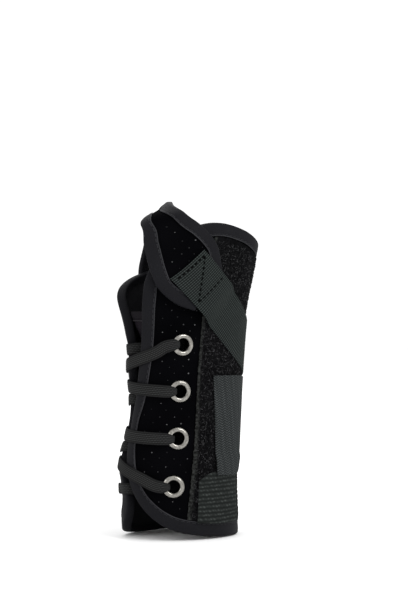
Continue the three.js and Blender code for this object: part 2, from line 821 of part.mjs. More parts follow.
add('web_strap', bandSolid(20, 3, WEB_STRAP, STRAP_WIDTH, STRAP_THICK), WEBBING);
const tabLift = (s, z) => ON_LOOP + (ELASTIC_THICK + GAP) * THREE.MathUtils.smoothstep(-z, 38, 43);
const tabFlat = patch(flatLine(TAB_BOTTOM), flatLine(TAB_TOP), flatLine(TAB_LEFT), flatLine(TAB_RIGHT));
add('pull_tab', sheetOnPatch(8, 8, tabFlat, tabLift, STRAP_THICK), HERRINGBONE);
add('pull_strap', bandSolid(20, 2, PULL_STRAP, PULL_WIDTH, STRAP_THICK), HERRINGBONE);
const elasticFlat = patch(
  flatLine(ELASTIC_BOTTOM),
  flatLine(ELASTIC_TOP),
  flatLine(ELASTIC_LEFT),
  flatLine(ELASTIC_RIGHT),
);
add('elastic_patch', sheetOnPatch(8, 4, elasticFlat, () => ON_LOOP, ELASTIC_THICK), ELASTIC);

const tongueFlat = (u, v) => [
  lerp(TONGUE_FAR, TONGUE_NEAR, u),
  lerp(TONGUE_BOTTOM, TONGUE_TOP, crowded(v)),
];
add('tongue', sheetOnPatch(13, 6, tongueFlat, tongueLift, TONGUE_THICK), TONGUE_DARK);
const hemEdge = flatLine(
  [
    [TONGUE_HEM_END, TONGUE_TOP + HEM_TAPE + GAP],
    [TONGUE_NEAR, TONGUE_TOP + HEM_TAPE + GAP],
  ],
  1,
);
const hemTop = TONGUE_HIGH + TONGUE_THICK;
const hemStations = [...shares(0, 1, 7), 1];
add('tongue_hem', foldedTape(hemStations, hemEdge, TONGUE_HIGH, hemTop, HEM_TAPE, HEM_WIDTH), TONGUE_DARK);

LACING.forEach(([nearS, nearZ, farS, farZ], i) => {
  add(`eyelet_near_${i + 1}`, eyeletSolid(nearS, nearZ), NICKEL, 1);
  add(`eyelet_far_${i + 1}`, eyeletSolid(farS, farZ), NICKEL, 1);
});
add('lace_upper', laceSolid(laceRows(LACING[0], LACING[1])), LACE_GREY);
add('lace_lower', laceSolid(laceRows(LACING[2], LACING[3])), LACE_GREY);

export default group;
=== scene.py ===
"""Looks of a lace-up wrist brace, built round its solids in the same frame.

Every piece is drawn flat first, in millimetres: s is the arc length round the brace from the middle of
its back (positive away from the lacing), z is the height, and lift is the distance out from the inner
face. wrap() brings flat places onto the form of the brace, and the meshes are stored in metres.
"""

import bpy
import numpy as np
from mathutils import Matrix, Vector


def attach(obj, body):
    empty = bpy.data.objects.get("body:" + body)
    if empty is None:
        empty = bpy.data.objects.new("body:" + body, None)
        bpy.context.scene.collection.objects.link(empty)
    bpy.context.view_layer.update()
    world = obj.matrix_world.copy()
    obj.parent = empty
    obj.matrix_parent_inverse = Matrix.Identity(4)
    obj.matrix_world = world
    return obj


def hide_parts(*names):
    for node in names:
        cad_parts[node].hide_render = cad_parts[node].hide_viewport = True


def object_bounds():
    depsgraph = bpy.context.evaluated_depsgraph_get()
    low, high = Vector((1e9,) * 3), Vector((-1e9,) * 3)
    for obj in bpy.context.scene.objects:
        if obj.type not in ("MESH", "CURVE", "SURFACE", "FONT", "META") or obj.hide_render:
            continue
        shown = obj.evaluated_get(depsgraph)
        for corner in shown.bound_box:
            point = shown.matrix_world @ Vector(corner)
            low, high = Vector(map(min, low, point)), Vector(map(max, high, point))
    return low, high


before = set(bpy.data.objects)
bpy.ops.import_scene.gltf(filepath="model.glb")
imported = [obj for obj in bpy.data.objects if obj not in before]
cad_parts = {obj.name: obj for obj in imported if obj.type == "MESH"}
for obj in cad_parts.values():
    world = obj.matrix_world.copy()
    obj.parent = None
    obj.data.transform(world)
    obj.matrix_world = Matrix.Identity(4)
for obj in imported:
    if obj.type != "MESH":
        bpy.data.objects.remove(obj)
cad_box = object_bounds()

MM = 0.001
BODY = "root"

# Thicknesses, widths and clearances
GAP = 0.3
SEWN_GAP = 0.5
WALL = 3.0
TAPE = 0.7
TAPE_WIDTH = 8.2
THUMB_TAPE_WIDTH = 8.8
FLAP_TAPE = 0.5
FLAP_GAP = 0.7
FLAP_THICK = 1.0
LOOP_THICK = 1.1
ELASTIC_THICK = 0.7
STRAP_THICK = 1.1
STRAP_WIDTH = 29
PULL_WIDTH = 32
TONGUE_THICK = 1.1
HEM_TAPE = 0.5
HEM_WIDTH = 6
LACE_WIDTH = 7.4
LACE_THICK = 1.0
LACE_IN_HOLE = 4.0
LACE_CLEAR = 0.1
HOLE_RADIUS = 4.7
STITCH_INSET = 1.25
PANEL_WIDTH = 100
PANEL_HEIGHT = 165

# Pitches of the weaves
LACE_RIB = 1.06
LACE_STITCH = 1.8
STRAP_RIB = 1.3
STRAP_WARP = 1.8
TWILL_YARN = 1.45
TWILL_COLUMN = 4.15
ELASTIC_RIB = 2.4
ELASTIC_STITCH = 2.1

# Lifts of the layers, from the inner face outwards
TAPE_TOP = WALL + SEWN_GAP + TAPE
LOOP_BASE = WALL + SEWN_GAP
LOOP_TOP = LOOP_BASE + LOOP_THICK
ON_LOOP = LOOP_TOP + GAP
FLAP_BASE = ON_LOOP + FLAP_TAPE + FLAP_GAP
FLAP_TOP = FLAP_BASE + FLAP_THICK
FLAP_TAPE_TOP = FLAP_TOP + FLAP_GAP + FLAP_TAPE
ON_FLAP = FLAP_TAPE_TOP + GAP
ON_LACE = WALL + 3 * GAP + LACE_THICK
ON_TAB = ON_LOOP + STRAP_THICK + SEWN_GAP
TONGUE_BASE = -5.4
TONGUE_HIGH = -3.7
LACE_INSIDE = -2.9

# Inner face of the brace, a rounded oval at each level
# columns: level z, half width, half depth, middle x, middle y
FORM = np.array([
    [-85, 32.4, 25.5, -3.2, 1.5],
    [-55, 32.6, 24.5, -4.2, 1.5],
    [-15, 32.5, 21.0, -1.2, 0.5],
    [15, 34.6, 20.5, -1.1, 0.0],
    [45, 37.0, 19.5, -0.5, -1.5],
    [70, 38.4, 16.5, 4.6, -3.0],
    [95, 36.9, 13.5, 9.1, -4.5],
    [100.5, 34.2, 13.2, 10.8, -4.8],
    [106, 28.6, 12.8, 15.7, -5.0],
    [112, 24.0, 12.3, 20.0, -5.2],
    [118, 22.5, 12.0, 21.5, -5.5],
])
FORM_POWER = 2.2

# Places where the cloth stands out from the oval, or is drawn in
# columns: amount, centre s, centre z, reach in s, reach in z
BULGES = [
    [11, -68, 62, 26, 19],
    [1.8, -62, -52, 16, 18],
    [-1.4, -58, -8, 16, 20],
    [-1.8, -61, 21.8, 10, 7],
    [-2.2, -61, -60, 10, 7],
    [1.8, 31, 88, 17, 14],
]

# Seam between the two panels, in degrees round the brace from the middle of its back. Over SEAM_LEVEL
# beside it the dorsal top edge falls and the palmar one rises a little, so that they meet, and the palmar
# edge laps past it by SEAM_LAP.
SEAM_ANGLE = 97
PALM_SEAM_ANGLE = SEAM_ANGLE - 360
SEAM_LEVEL = 5.0
SEAM_LAP = 0.7
DORSAL_SEAM_FALL = 0.4
PALMAR_SEAM_RISE = 0.8

# Angles, heights and arc lengths at which the form is tabled
ANGLES = np.arange(-300, 201)
TABLE_Z = np.arange(-92, 120, 1.0)
TABLE_S = np.arange(-160, 110, 0.5)

# Outer edge of the dorsal panel from the hem, up the lacing edge, to the top; columns: s, z
DORSAL_HEM_Z = -88.5
DORSAL_TOP_Z = 84
DORSAL_EDGE = [
    [17.8, -88.5],
    [-10.2, -86.2],
    [-26.1, -82.0],
    [-38.3, -72.0],
    [-47.4, -56.5],
    [-50.8, -38.0],
    [-49.6, -19.5],
    [-45.1, -4.5],
    [-42.8, 10.0],
    [-41.5, 24.5],
    [-41.3, 51.5],
    [-41.2, 64.0],
    [-38.5, 77.0],
    [-32.0, 87.0],
    [-14.4, 96.0],
    [0.0, 97.5],
    [20.0, 93.5],
]

# Outer edge of the palmar panel, drawn the same way; columns: s, z
PALMAR_TOP_Z = 83.4
PALMAR_EDGE = [
    [-100, -88.5],
    [-80, -88.5],
    [-67, -86.8],
    [-58, -82.5],
    [-52.2, -76.0],
    [-49.5, -68.0],
    [-51.2, -60.0],
    [-54.7, -51.0],
    [-57.2, -40.0],
    [-56.5, -27.0],
    [-53.6, -12.0],
    [-51.8, 4.0],
    [-51.8, 24.0],
    [-54.0, 41.0],
    [-59.0, 54.0],
    [-68.0, 64.0],
    [-80.0, 70.0],
    [-94.0, 73.8],
    [-108.0, 77.2],
]

# Where the long edges turn into hem and top, as shares of the edge length
DORSAL_CORNERS = (0.31, 0.71)
PALMAR_CORNERS = (0.27, 0.66)

# Left edge of the loop panel, hem to top; columns: s, z
LOOP_EDGE = [
    [-16.2, -79.0],
    [-12.5, -48.5],
    [-10.0, 4.5],
    [-7.9, 34.5],
    [-4.5, 90.0],
]

# Long edges of the web flap, from its end on the back to its root on the palmar panel; columns: s, z
FLAP_THUMB_EDGE = [
    [-15.4, 45.2],
    [-24.3, 48.2],
    [-30.5, 52.5],
    [-35.6, 58.5],
    [-39.1, 67.5],
    [-42.3, 83.5],
    [-43.3, 92.0],
    [-46.0, 97.2],
    [-49.0, 99.8],
    [-53.0, 98.5],
    [-57.5, 94.5],
    [-61.8, 89.5],
    [-67.0, 82.5],
    [-72.5, 74.5],
    [-78.0, 65.5],
    [-83.0, 56.0],
]
FLAP_FINGER_EDGE = [
    [0.8, 67.0],
    [-4.6, 83.0],
    [-9.5, 89.0],
    [-18.0, 96.0],
    [-25.8, 101.2],
    [-29.3, 104.9],
    [-34.0, 109.8],
    [-37.5, 110.4],
    [-44.0, 108.0],
    [-52.0, 105.9],
    [-61.0, 104.0],
    [-72.0, 98.3],
    [-83.0, 90.0],
    [-93.0, 80.0],
    [-101.0, 69.0],
]

# Shares of the thumb edge and of the finger edge where the flap folds over
FLAP_FOLD = (0.536, 0.42)

# Middle line of the webbing strap with its lift; columns: s, z, lift
WEB_STRAP = [
    [-23.2, 72.3, ON_FLAP],
    [-13.2, 62.7, ON_FLAP],
    [-2.4, 52.7, ON_FLAP],
    [6.5, 45.0, ON_LOOP],
    [24.0, 29.5, ON_LOOP],
    [36.0, 21.5, ON_LOOP],
    [46.0, 16.5, ON_LOOP],
]

# Middle line of the pull strap with its lift, from the tab to the lace ends; columns: s, z, lift
PULL_STRAP = [
    [37.5, -21, ON_TAB],
    [42.5, -21, ON_TAB],
    [46.5, -21, ON_LOOP],
    [48.5, -21, ON_LOOP],
    [53.5, -21, WALL + GAP],
    [67.0, -21, WALL + GAP],
    [74.0, -21, ON_LACE],
    [84.0, -21, ON_LACE],
]

# Outline of the pull tab, and the depths between which it steps up onto the elastic patch; columns: s, z
TAB_LEFT = [[2.8, -51.5], [1.4, -25.0], [0.0, 7.0]]
TAB_RIGHT = [[41.5, -36.5], [41.5, 1.5]]
TAB_BOTTOM = [[2.8, -51.5], [16.0, -52.2], [21.0, -51.4], [28.0, -39.0], [41.5, -36.5]]
TAB_TOP = [[0.0, 7.0], [20.0, 6.6], [31.0, 5.4], [41.5, 1.5]]
TAB_STEP = (38, 43)

# Outline of the elastic patch, and where its flat border starts and is full; columns: s, z
ELASTIC_LEFT = [[-11.0, -78.6], [-9.7, -64.0], [-9.1, -54.5]]
ELASTIC_RIGHT = [[23.0, -80.0], [23.0, -51.0]]
ELASTIC_BOTTOM = [[-11.0, -78.6], [6.0, -80.0], [23.0, -80.0]]
ELASTIC_TOP = [[-9.1, -54.5], [-5.6, -52.0], [-2.0, -50.2], [3.0, -49.4], [11.0, -49.6], [23.0, -51.0]]
ELASTIC_BORDER = (20.4, 21.0)

# Tongue under the lacing gap, sewn inside the palmar panel along its far side
# It comes up between the heights of TONGUE_STEP, and its folds grow over the places of TONGUE_FOLDS
TONGUE_NEAR = -30
TONGUE_FREE = -81
TONGUE_SEWN = -86
TONGUE_FAR = -93
TONGUE_HEM_END = -69
TONGUE_BOTTOM = -60
TONGUE_TOP = 44
TONGUE_STEP = (30, 37)
TONGUE_FOLDS = (-84, -76)

# Lacing rows from the top down
# columns: near eyelet s, z, far eyelet s, z, bar z beside the far eyelet, lace end z on the pull strap
LACING = [
    [-19.3, 25.5, -67.0, 21.8, 12.0, -9],
    [-20.3, -1.8, -67.8, -8.5, 0.7, -17],
    [-20.9, -29.5, -72.2, -36.5, -27.2, -25],
    [-22.8, -57.3, -67.3, -60.0, -45.0, -33],
]
LACE_START = -98

# Eyelet section, one closed outline; columns: radius, lift
EYELET = [
    [3.5, -1.7],
    [3.5, 0.6],
    [3.5, 3.0],
    [3.75, 3.75],
    [4.4, 4.3],
    [5.2, 4.4],
    [5.9, 4.15],
    [6.45, 3.65],
    [6.6, 3.3],
    [6.2, 3.1],
    [4.5, 3.06],
    [4.3, 2.6],
    [4.3, -0.8],
    [4.6, -1.1],
    [5.1, -1.15],
    [5.4, -1.45],
    [5.1, -1.8],
    [4.0, -1.85],
]
EYELET_TOP = max(lift for _, lift in EYELET)
EYELET_SIDES = 64

# Radii between which the painted shade in the throat of an eyelet, a dark colour standing in for the shade
# of the hole, turns into its bright crown
EYELET_THROAT_SHADE_RADII = (3.6, 4.4)

# Reach round an eyelet where the cloth is pressed flat, and where that ends
SEAT_FLAT = 6.8
SEAT_REACH = 10.5

# Punched holes in the suede: a diamond grid, kept clear of the eyelets and the edges
PUNCH_S = 7.7
PUNCH_Z = 8.2
PUNCH_RADIUS = 0.42
PUNCH_LIFT = 0.1
PUNCH_CLEAR = 8.2
PUNCH_INSET = TAPE_WIDTH + 1.6
PUNCH_TO_LOOP = 2.2
PUNCH_TO_SEAM = 3
FLAP_PUNCH_INSET = 8.0

# Shares of the dorsal edge between which it borders on punched suede
DORSAL_PUNCHED = (0.16, 0.88)


def lerp(a, b, t):
    """Straight blend from a, where t is 0, to b, where t is 1."""
    return a + (b - a) * t


def ease(x, low, high):
    """Rises from 0 at low to 1 at high with level ends."""
    t = np.clip((np.asarray(x, float) - low) / (high - low), 0, 1)
    return t * t * (3 - 2 * t)


def unit(v):
    """Vectors brought to length 1."""
    return v / np.maximum(np.linalg.norm(v, axis=-1, keepdims=True), 1e-9)


def run_along(points):
    """Length run so far at each point of a path: its chords, added up."""
    steps = np.linalg.norm(np.diff(points, axis=0), axis=1)
    return np.concatenate([[0], np.cumsum(steps)])


def soft_noise(s, z, seed, sizes):
    """Smooth unevenness from -1 to 1: waves of the given sizes in seeded directions, averaged."""
    draw = np.random.default_rng(seed)
    total = np.zeros(np.broadcast(s, z).shape)
    for size in sizes:
        turn, phase = draw.uniform(0, 2 * np.pi, 2)
        total += np.sin(2 * np.pi * (s * np.cos(turn) + z * np.sin(turn)) / size + phase)
    return total / len(sizes)


# The form that the brace is shaped on


def oval_at(z):
    """Half width, half depth and middle at height z: a cubic through the rows of FORM, whose slope at each
    row is that of the line between its two neighbours."""
    levels = FORM[:, 0]
    row = np.arange(len(levels))
    before = np.maximum(row - 1, 0)
    after = np.minimum(row + 1, len(levels) - 1)
    slopes = (FORM[after] - FORM[before]) / (levels[after] - levels[before])[:, None]
    z = np.clip(z, levels[0], levels[-1])
    i = np.clip(np.searchsorted(levels, z, side="right") - 1, 0, len(levels) - 2)
    span = (levels[i + 1] - levels[i])[..., None]
    t = (z - levels[i])[..., None] / span
    value = (2 * t**3 - 3 * t**2 + 1) * FORM[i] + (t**3 - 2 * t**2 + t) * span * slopes[i]
    value += (3 * t**2 - 2 * t**3) * FORM[i + 1] + (t**3 - t**2) * span * slopes[i + 1]
    return value[..., 1:]


def on_oval(oval, degrees):
    """Place on the oval at an angle: a direction from the middle, cut off where the rounded oval is met."""
    across = np.sin(np.radians(degrees))
    along = np.cos(np.radians(degrees))
    radius = (np.abs(across) ** FORM_POWER + np.abs(along) ** FORM_POWER) ** (-1 / FORM_POWER)
    return oval[..., 0] * across * radius, -oval[..., 1] * along * radius


def arc_lengths():
    """Arc length from the middle of the back at each level of TABLE_Z and angle of ANGLES: the chords
    between neighbouring angles, added up."""
    x, y = on_oval(oval_at(TABLE_Z)[:, None, :], ANGLES)
    chords = np.hypot(np.diff(x, axis=1), np.diff(y, axis=1))
    arcs = np.pad(np.cumsum(chords, axis=1), ((0, 0), (1, 0)))
    return arcs - arcs[:, ANGLES == 0]


ARCS = arc_lengths()
ANGLE_TABLE = np.stack([np.interp(TABLE_S, arcs, ANGLES) for arcs in ARCS])


def angle_at(s, z):
    """Angle at arc length s and height z, read from ANGLE_TABLE between its rows and columns."""
    i = np.clip((z - TABLE_Z[0]) / (TABLE_Z[1] - TABLE_Z[0]), 0, len(TABLE_Z) - 1.001)
    j = np.clip((s - TABLE_S[0]) / (TABLE_S[1] - TABLE_S[0]), 0, len(TABLE_S) - 1.001)
    i0 = i.astype(int)
    j0 = j.astype(int)
    low = lerp(ANGLE_TABLE[i0, j0], ANGLE_TABLE[i0, j0 + 1], j - j0)
    high = lerp(ANGLE_TABLE[i0 + 1, j0], ANGLE_TABLE[i0 + 1, j0 + 1], j - j0)
    return lerp(low, high, i - i0)


def seam_at(z, angle=SEAM_ANGLE):
    """Arc length of the seam at height z."""
    return np.interp(z, TABLE_Z, ARCS[:, ANGLES == angle][:, 0])


def palm_seam_at(z):
    """Arc length of the same seam as the palmar panel reaches it, a gap away from the dorsal panel."""
    return seam_at(z, PALM_SEAM_ANGLE) + GAP


def on_form(s, z, lift):
    """Flat place on the bare form: the point of the oval, moved out along the oval's own normal by the lift
    and the bulges."""
    s, z, lift = np.broadcast_arrays(*(np.asarray(part, float) for part in (s, z, lift)))
    oval = oval_at(z)
    x, y = on_oval(oval, angle_at(s, z))
    normal_x = np.sign(x) * np.abs(x / oval[..., 0]) ** (FORM_POWER - 1) / oval[..., 0]
    normal_y = np.sign(y) * np.abs(y / oval[..., 1]) ** (FORM_POWER - 1) / oval[..., 1]
    out = np.array(lift)
    for amount, s0, z0, reach_s, reach_z in BULGES:
        out += amount * np.exp(-(((s - s0) / reach_s) ** 2) - ((z - z0) / reach_z) ** 2)
    out /= np.hypot(normal_x, normal_y)
    return np.stack([oval[..., 2] + x + normal_x * out, oval[..., 3] + y + normal_y * out, z], axis=-1)


def disc_frame(s, z):
    """Middle, two directions in the wall and the outward direction at a flat place."""
    middle = on_form(s, z, 0)
    round_way = unit(on_form(s + 1, z, 0) - on_form(s - 1, z, 0))
    up = unit(on_form(s, z + 1, 0) - on_form(s, z - 1, 0))
    out = unit(np.cross(round_way, up))
    return middle, round_way, np.cross(out, round_way), out


NEAR_HOLES = [row[0:2] for row in LACING]
FAR_HOLES = [row[2:4] for row in LACING]
EYELET_SEATS = [(s, z, disc_frame(s, z)) for s, z in NEAR_HOLES + FAR_HOLES]


def wrap(s, z, lift):
    """Flat place brought onto the form, with the cloth pressed flat under each eyelet: there the height
    above the eyelet's plane is drawn to the lift, less and less out to SEAT_REACH."""
    s, z, lift = np.broadcast_arrays(*(np.asarray(part, float) for part in (s, z, lift)))
    points = on_form(s, z, lift)
    for seat_s, seat_z, (middle, _, _, out) in EYELET_SEATS:
        press = 1 - ease(np.hypot(s - seat_s, z - seat_z), SEAT_FLAT, SEAT_REACH)
        height = (points - middle) @ out
        points = points + (press * (lift - height))[..., None] * out
    return points


# Flat lines and patches


def spline_at(rows, where):
    """Smooth curve through the rows: a cubic between each two, with slopes weighed by the square root of
    the distance to their neighbours. where counts rows, so 1.5 is halfway from row 1 to row 2."""
    rows = np.asarray(rows, float)
    knots = np.vstack([2 * rows[0] - rows[1], rows, 2 * rows[-1] - rows[-2]])
    i = np.clip(where.astype(int), 0, len(rows) - 2)
    t = (where - i)[..., None]
    p0, p1, p2, p3 = (knots[i + k] for k in range(4))
    d0, d1, d2 = (
        np.sqrt(np.maximum(np.linalg.norm(b - a, axis=-1, keepdims=True), 1e-6))
        for a, b in ((p0, p1), (p1, p2), (p2, p3))
    )
    start = ((p1 - p0) / d0 - (p2 - p0) / (d0 + d1) + (p2 - p1) / d1) * d1
    end = ((p2 - p1) / d1 - (p3 - p1) / (d1 + d2) + (p3 - p2) / d2) * d1
    bend = -3 * p1 + 3 * p2 - 2 * start - end
    return p1 + start * t + bend * t**2 + (2 * p1 - 2 * p2 + start + end) * t**3


class FlatLine:
    """Smooth line through flat places, run at an even pace from 0 to 1. A positive inset steps to the right
    of the travel for side 1, and to the left for side -1."""

    def __init__(self, rows, side=1):
        last = len(rows) - 1
        self.places = spline_at(rows, np.linspace(0, last, 60 * last + 1))
        run = run_along(self.places)
        self.length = run[-1]
        self.pace = run / run[-1]
        self.ways = unit(np.gradient(self.places, run, axis=0))
        self.side = side

    def at(self, t, inset=0.0):
        """Flat place at a share of the way, moved aside by the inset."""
        s, z, way_s, way_z = (
            np.interp(t, self.pace, column) for column in np.hstack([self.places, self.ways]).T
        )
        return np.stack([s + self.side * way_z * inset, z - self.side * way_s * inset], axis=-1)

    def share_at(self, axis, value, start, end, inset=0.0):
        """Share of the way where s (axis 0) or z (axis 1) reaches a value between two shares."""
        t = np.linspace(start, end, 2000)
        run = self.at(t, inset)[:, axis]
        order = np.argsort(run)
        return np.interp(value, run[order], t[order])


def fill_patch(bottom, top, left, right, u, v):
    """Flat patch between four border lines: the fill from bottom to top plus the fill from left to right,
    less the fill between the four corners."""
    u = u[..., None]
    v = v[..., None]
    ruled = lerp(bottom(u[..., 0]), top(u[..., 0]), v) + lerp(left(v[..., 0]), right(v[..., 0]), u)
    zero = np.zeros(1)
    one = np.ones(1)
    low = lerp(bottom(zero), bottom(one), u)
    high = lerp(top(zero), top(one), u)
    return ruled - lerp(low, high, v)


def even_grid(columns, rows):
    """Shares u across and v up, as two grids of columns + 1 by rows + 1 places."""
    return np.meshgrid(np.linspace(0, 1, columns + 1), np.linspace(0, 1, rows + 1), indexing="ij")


def edged_grid(columns, rows, width, height, margin=0.5):
    """Shares as in even_grid, with extra lines near the borders for a rounded rim."""
    rim = margin * np.array([0, 0.07, 0.3, 0.62, 1.0])

    def shares(count, size):
        """Rim lines at both ends, and even lines between them."""
        ends = rim / size
        return np.concatenate([ends, np.linspace(ends[-1], 1 - ends[-1], count + 1)[1:-1], 1 - ends[::-1]])

    return np.meshgrid(shares(columns, width), shares(rows, height), indexing="ij")


def rim_round(u, v, width, height, radius=0.5):
    """Share of the thickness left near the borders: a quarter circle of the given radius, 1 further in."""
    inset = np.minimum.reduce([u * width, (1 - u) * width, v * height, (1 - v) * height])
    fall = 1 - np.clip(inset / radius, 0, 1)
    return 0.25 + 0.75 * np.sqrt(1 - fall**2)


dorsal_edge = FlatLine([
    [seam_at(DORSAL_HEM_Z), DORSAL_HEM_Z],
    *DORSAL_EDGE,
    [seam_at(DORSAL_TOP_Z) - SEAM_LEVEL, DORSAL_TOP_Z + DORSAL_SEAM_FALL],
    [seam_at(DORSAL_TOP_Z), DORSAL_TOP_Z],
])
palmar_edge = FlatLine(
    [
        [palm_seam_at(DORSAL_HEM_Z) - SEAM_LAP, DORSAL_HEM_Z],
        *PALMAR_EDGE,
        [palm_seam_at(PALMAR_TOP_Z) + SEAM_LEVEL, PALMAR_TOP_Z - PALMAR_SEAM_RISE],
        [palm_seam_at(PALMAR_TOP_Z) - SEAM_LAP, PALMAR_TOP_Z],
    ],
    side=-1,
)
thumb_edge = FlatLine(FLAP_THUMB_EDGE)
finger_edge = FlatLine(FLAP_FINGER_EDGE, side=-1)


def panel_flat(edge, corners, seam, u, v):
    """Flat places of a panel inside its tape: u runs from the lacing edge to the seam, v from hem to top."""
    inset = TAPE + GAP
    low, high = corners
    (low_s, low_z), (high_s, high_z) = edge.at(np.array([0.0, 1.0]), inset)

    def seam_side(share):
        """The seam's own line, moved aside so that it meets both ends of the edge line."""
        z = lerp(low_z, high_z, share)
        return np.stack([seam(z) + lerp(low_s - seam(low_z), high_s - seam(high_z), share), z], axis=-1)

    return fill_patch(
        lambda t: edge.at(low * (1 - t), inset),
        lambda t: edge.at(lerp(high, 1, t), inset),
        lambda t: edge.at(lerp(low, high, t), inset),
        seam_side,
        u,
        v,
    )


def loop_flat(u, v):
    """Flat places of the loop panel, from its left edge to the seam, between the inner edges of the tape."""
    inset = TAPE_WIDTH + GAP
    low, high = DORSAL_CORNERS
    hem_share = dorsal_edge.share_at(0, LOOP_EDGE[0][0], 0, low, inset)
    top_share = dorsal_edge.share_at(0, LOOP_EDGE[-1][0], high, 1, inset)
    ends = dorsal_edge.at(np.array([hem_share, top_share]), inset)
    left = FlatLine([ends[0], *LOOP_EDGE[1:-1], ends[1]])
    corner_low, corner_high = dorsal_edge.at(np.array([0.0, 1.0]), inset)
    return fill_patch(
        lambda t: dorsal_edge.at(hem_share * (1 - t), inset),
        lambda t: dorsal_edge.at(lerp(top_share, 1, t), inset),
        left.at,
        lambda t: lerp(corner_low, corner_high, t[..., None]),
        u,
        v,
    )


def flap_flat(u, v):
    """Flat places of the web flap: straight lines from the thumb edge to the finger edge, with the fold at
    half of u on both."""
    inset = FLAP_TAPE + FLAP_GAP
    thumb, finger = (np.interp(u, [0, 0.5, 1], [0, fold, 1]) for fold in FLAP_FOLD)
    return lerp(thumb_edge.at(thumb, inset), finger_edge.at(finger, inset), v[..., None])


def outline_flat(bottom, top, left, right):
    """Flat places of a patch whose outline is given by four tables of rows."""
    borders = [FlatLine(rows).at for rows in (bottom, top, left, right)]
    return lambda u, v: fill_patch(*borders, u, v)


tab_flat = outline_flat(TAB_BOTTOM, TAB_TOP, TAB_LEFT, TAB_RIGHT)
elastic_flat = outline_flat(ELASTIC_BOTTOM, ELASTIC_TOP, ELASTIC_LEFT, ELASTIC_RIGHT)


def laid_size(points):
    """Size and area that a sheet has flat, in metres, from the grid it is laid on: the longest run of chords
    each way, and half the cross product of the diagonals of all cells."""
    runs = [np.linalg.norm(np.diff(points, axis=axis), axis=-1).sum(axis=axis).max() for axis in (0, 1)]
    diagonals = np.cross(points[1:, 1:] - points[:-1, :-1], points[:-1, 1:] - points[1:, :-1])
    area = np.linalg.norm(diagonals, axis=-1).sum() / 2
    return (float(runs[0] * MM), float(runs[1] * MM)), float(area * MM**2)


def inside_outline(outline, places):
    """Whether flat places lie inside a closed outline: an odd number of its sides is crossed going right."""
    a = outline[None]
    b = np.roll(outline, -1, axis=0)[None]
    s = places[:, None, 0]
    z = places[:, None, 1]
    straddles = (a[..., 1] > z) != (b[..., 1] > z)
    rise = np.where(straddles, b[..., 1] - a[..., 1], 1)
    crossing = a[..., 0] + (z - a[..., 1]) * (b[..., 0] - a[..., 0]) / rise
    return (straddles & (s < crossing)).sum(axis=1) % 2 == 1


# Weaves, as heights from 0 to 1 of places along and across the cloth in millimetres


def ripple(x):
    """Even wave between 0 and 1, highest at each whole number."""
    return 0.5 + 0.5 * np.cos(2 * np.pi * x)


def zigzag(x):
    """Straight up and down between 0 and 1, once for each whole number."""
    return 1 - np.abs(2 * (x % 1) - 1)


def herringbone(along, across, pitch, column, slant):
    """Yarns a pitch apart that climb by slant pitches to the middle of each column and fall again; they
    waver by a small part of the pitch, and some stand less high."""
    waver = 0.1 * soft_noise(along, across, seed=71, sizes=(2.9, 4.3, 7.1))
    height = 0.78 + 0.22 * soft_noise(along, across, seed=72, sizes=(1.9, 3.1, 5.3))
    yarn = ripple(along / pitch + waver + slant * zigzag(across / column))
    return 0.05 + 0.95 * height * yarn


def rib_weave(along, across, pitch, column):
    """Cross ribs a pitch apart, each bound down between columns of warp yarns."""
    return ripple(along / pitch) * (0.6 + 0.4 * ripple(across / column))


def braid_weave(along, across):
    """Ribs along a lace, each of short stitches that start halfway along those of the next rib."""
    ribs = across / LACE_RIB
    stitches = along / LACE_STITCH + 0.5 * (np.round(ribs) % 2)
    return ripple(ribs) * (0.6 + 0.4 * ripple(stitches))


# Meshes

SHARP_ANGLE = 55


def volume_sign(points, quads):
    """Sign of the volume inside the faces, positive where they point outwards: the sum over all faces of a
    corner times the cross products of the others."""
    a, b, c, d = (points[quads[:, k]] for k in range(4))
    return np.sign(np.einsum("ij,ij->i", a, np.cross(b, c) + np.cross(c, d)).sum())


def put_piece(name, points, quads, finish, flat=None, marks=None):
    """Mesh object at the origin from points in millimetres and faces of four corners, with the flat places
    as its map and any marks as values at its points."""
    used, corners = np.unique(quads, return_inverse=True)
    quads = corners.reshape(-1, 4)
    points = points.reshape(-1, 3)[used]
    if volume_sign(points, quads) < 0:
        quads = quads[:, ::-1]
    mesh = bpy.data.meshes.new(name)
    mesh.vertices.add(len(points))
    mesh.vertices.foreach_set("co", (points * MM).astype(np.float32).ravel())
    mesh.loops.add(quads.size)
    mesh.loops.foreach_set("vertex_index", quads.ravel().astype(np.int32))
    mesh.polygons.add(len(quads))
    mesh.polygons.foreach_set("loop_start", np.arange(0, quads.size, 4, dtype=np.int32))
    mesh.update(calc_edges=True)
    if flat is not None:
        layer = mesh.uv_layers.new(name="flat")
        layer.data.foreach_set("uv", flat.reshape(-1, 2)[used][quads.ravel()].astype(np.float32).ravel())
    for mark, values in (marks or {}).items():
        attribute = mesh.attributes.new(mark, "FLOAT", "POINT")
        attribute.data.foreach_set("value", values.ravel()[used].astype(np.float32))
    mesh.set_sharp_from_angle(angle=np.radians(SHARP_ANGLE))
    mesh.validate()
    mesh.materials.append(finish)
    piece = bpy.data.objects.new(name, mesh)
    bpy.context.collection.objects.link(piece)
    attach(piece, BODY)
    return piece


def grid_cells(rows, columns):
    """Corner numbers of each cell of a grid whose points are numbered row by row."""
    ids = np.arange(rows * columns).reshape(rows, columns)
    return np.stack([ids[:-1, :-1], ids[1:, :-1], ids[1:, 1:], ids[:-1, 1:]], axis=-1)


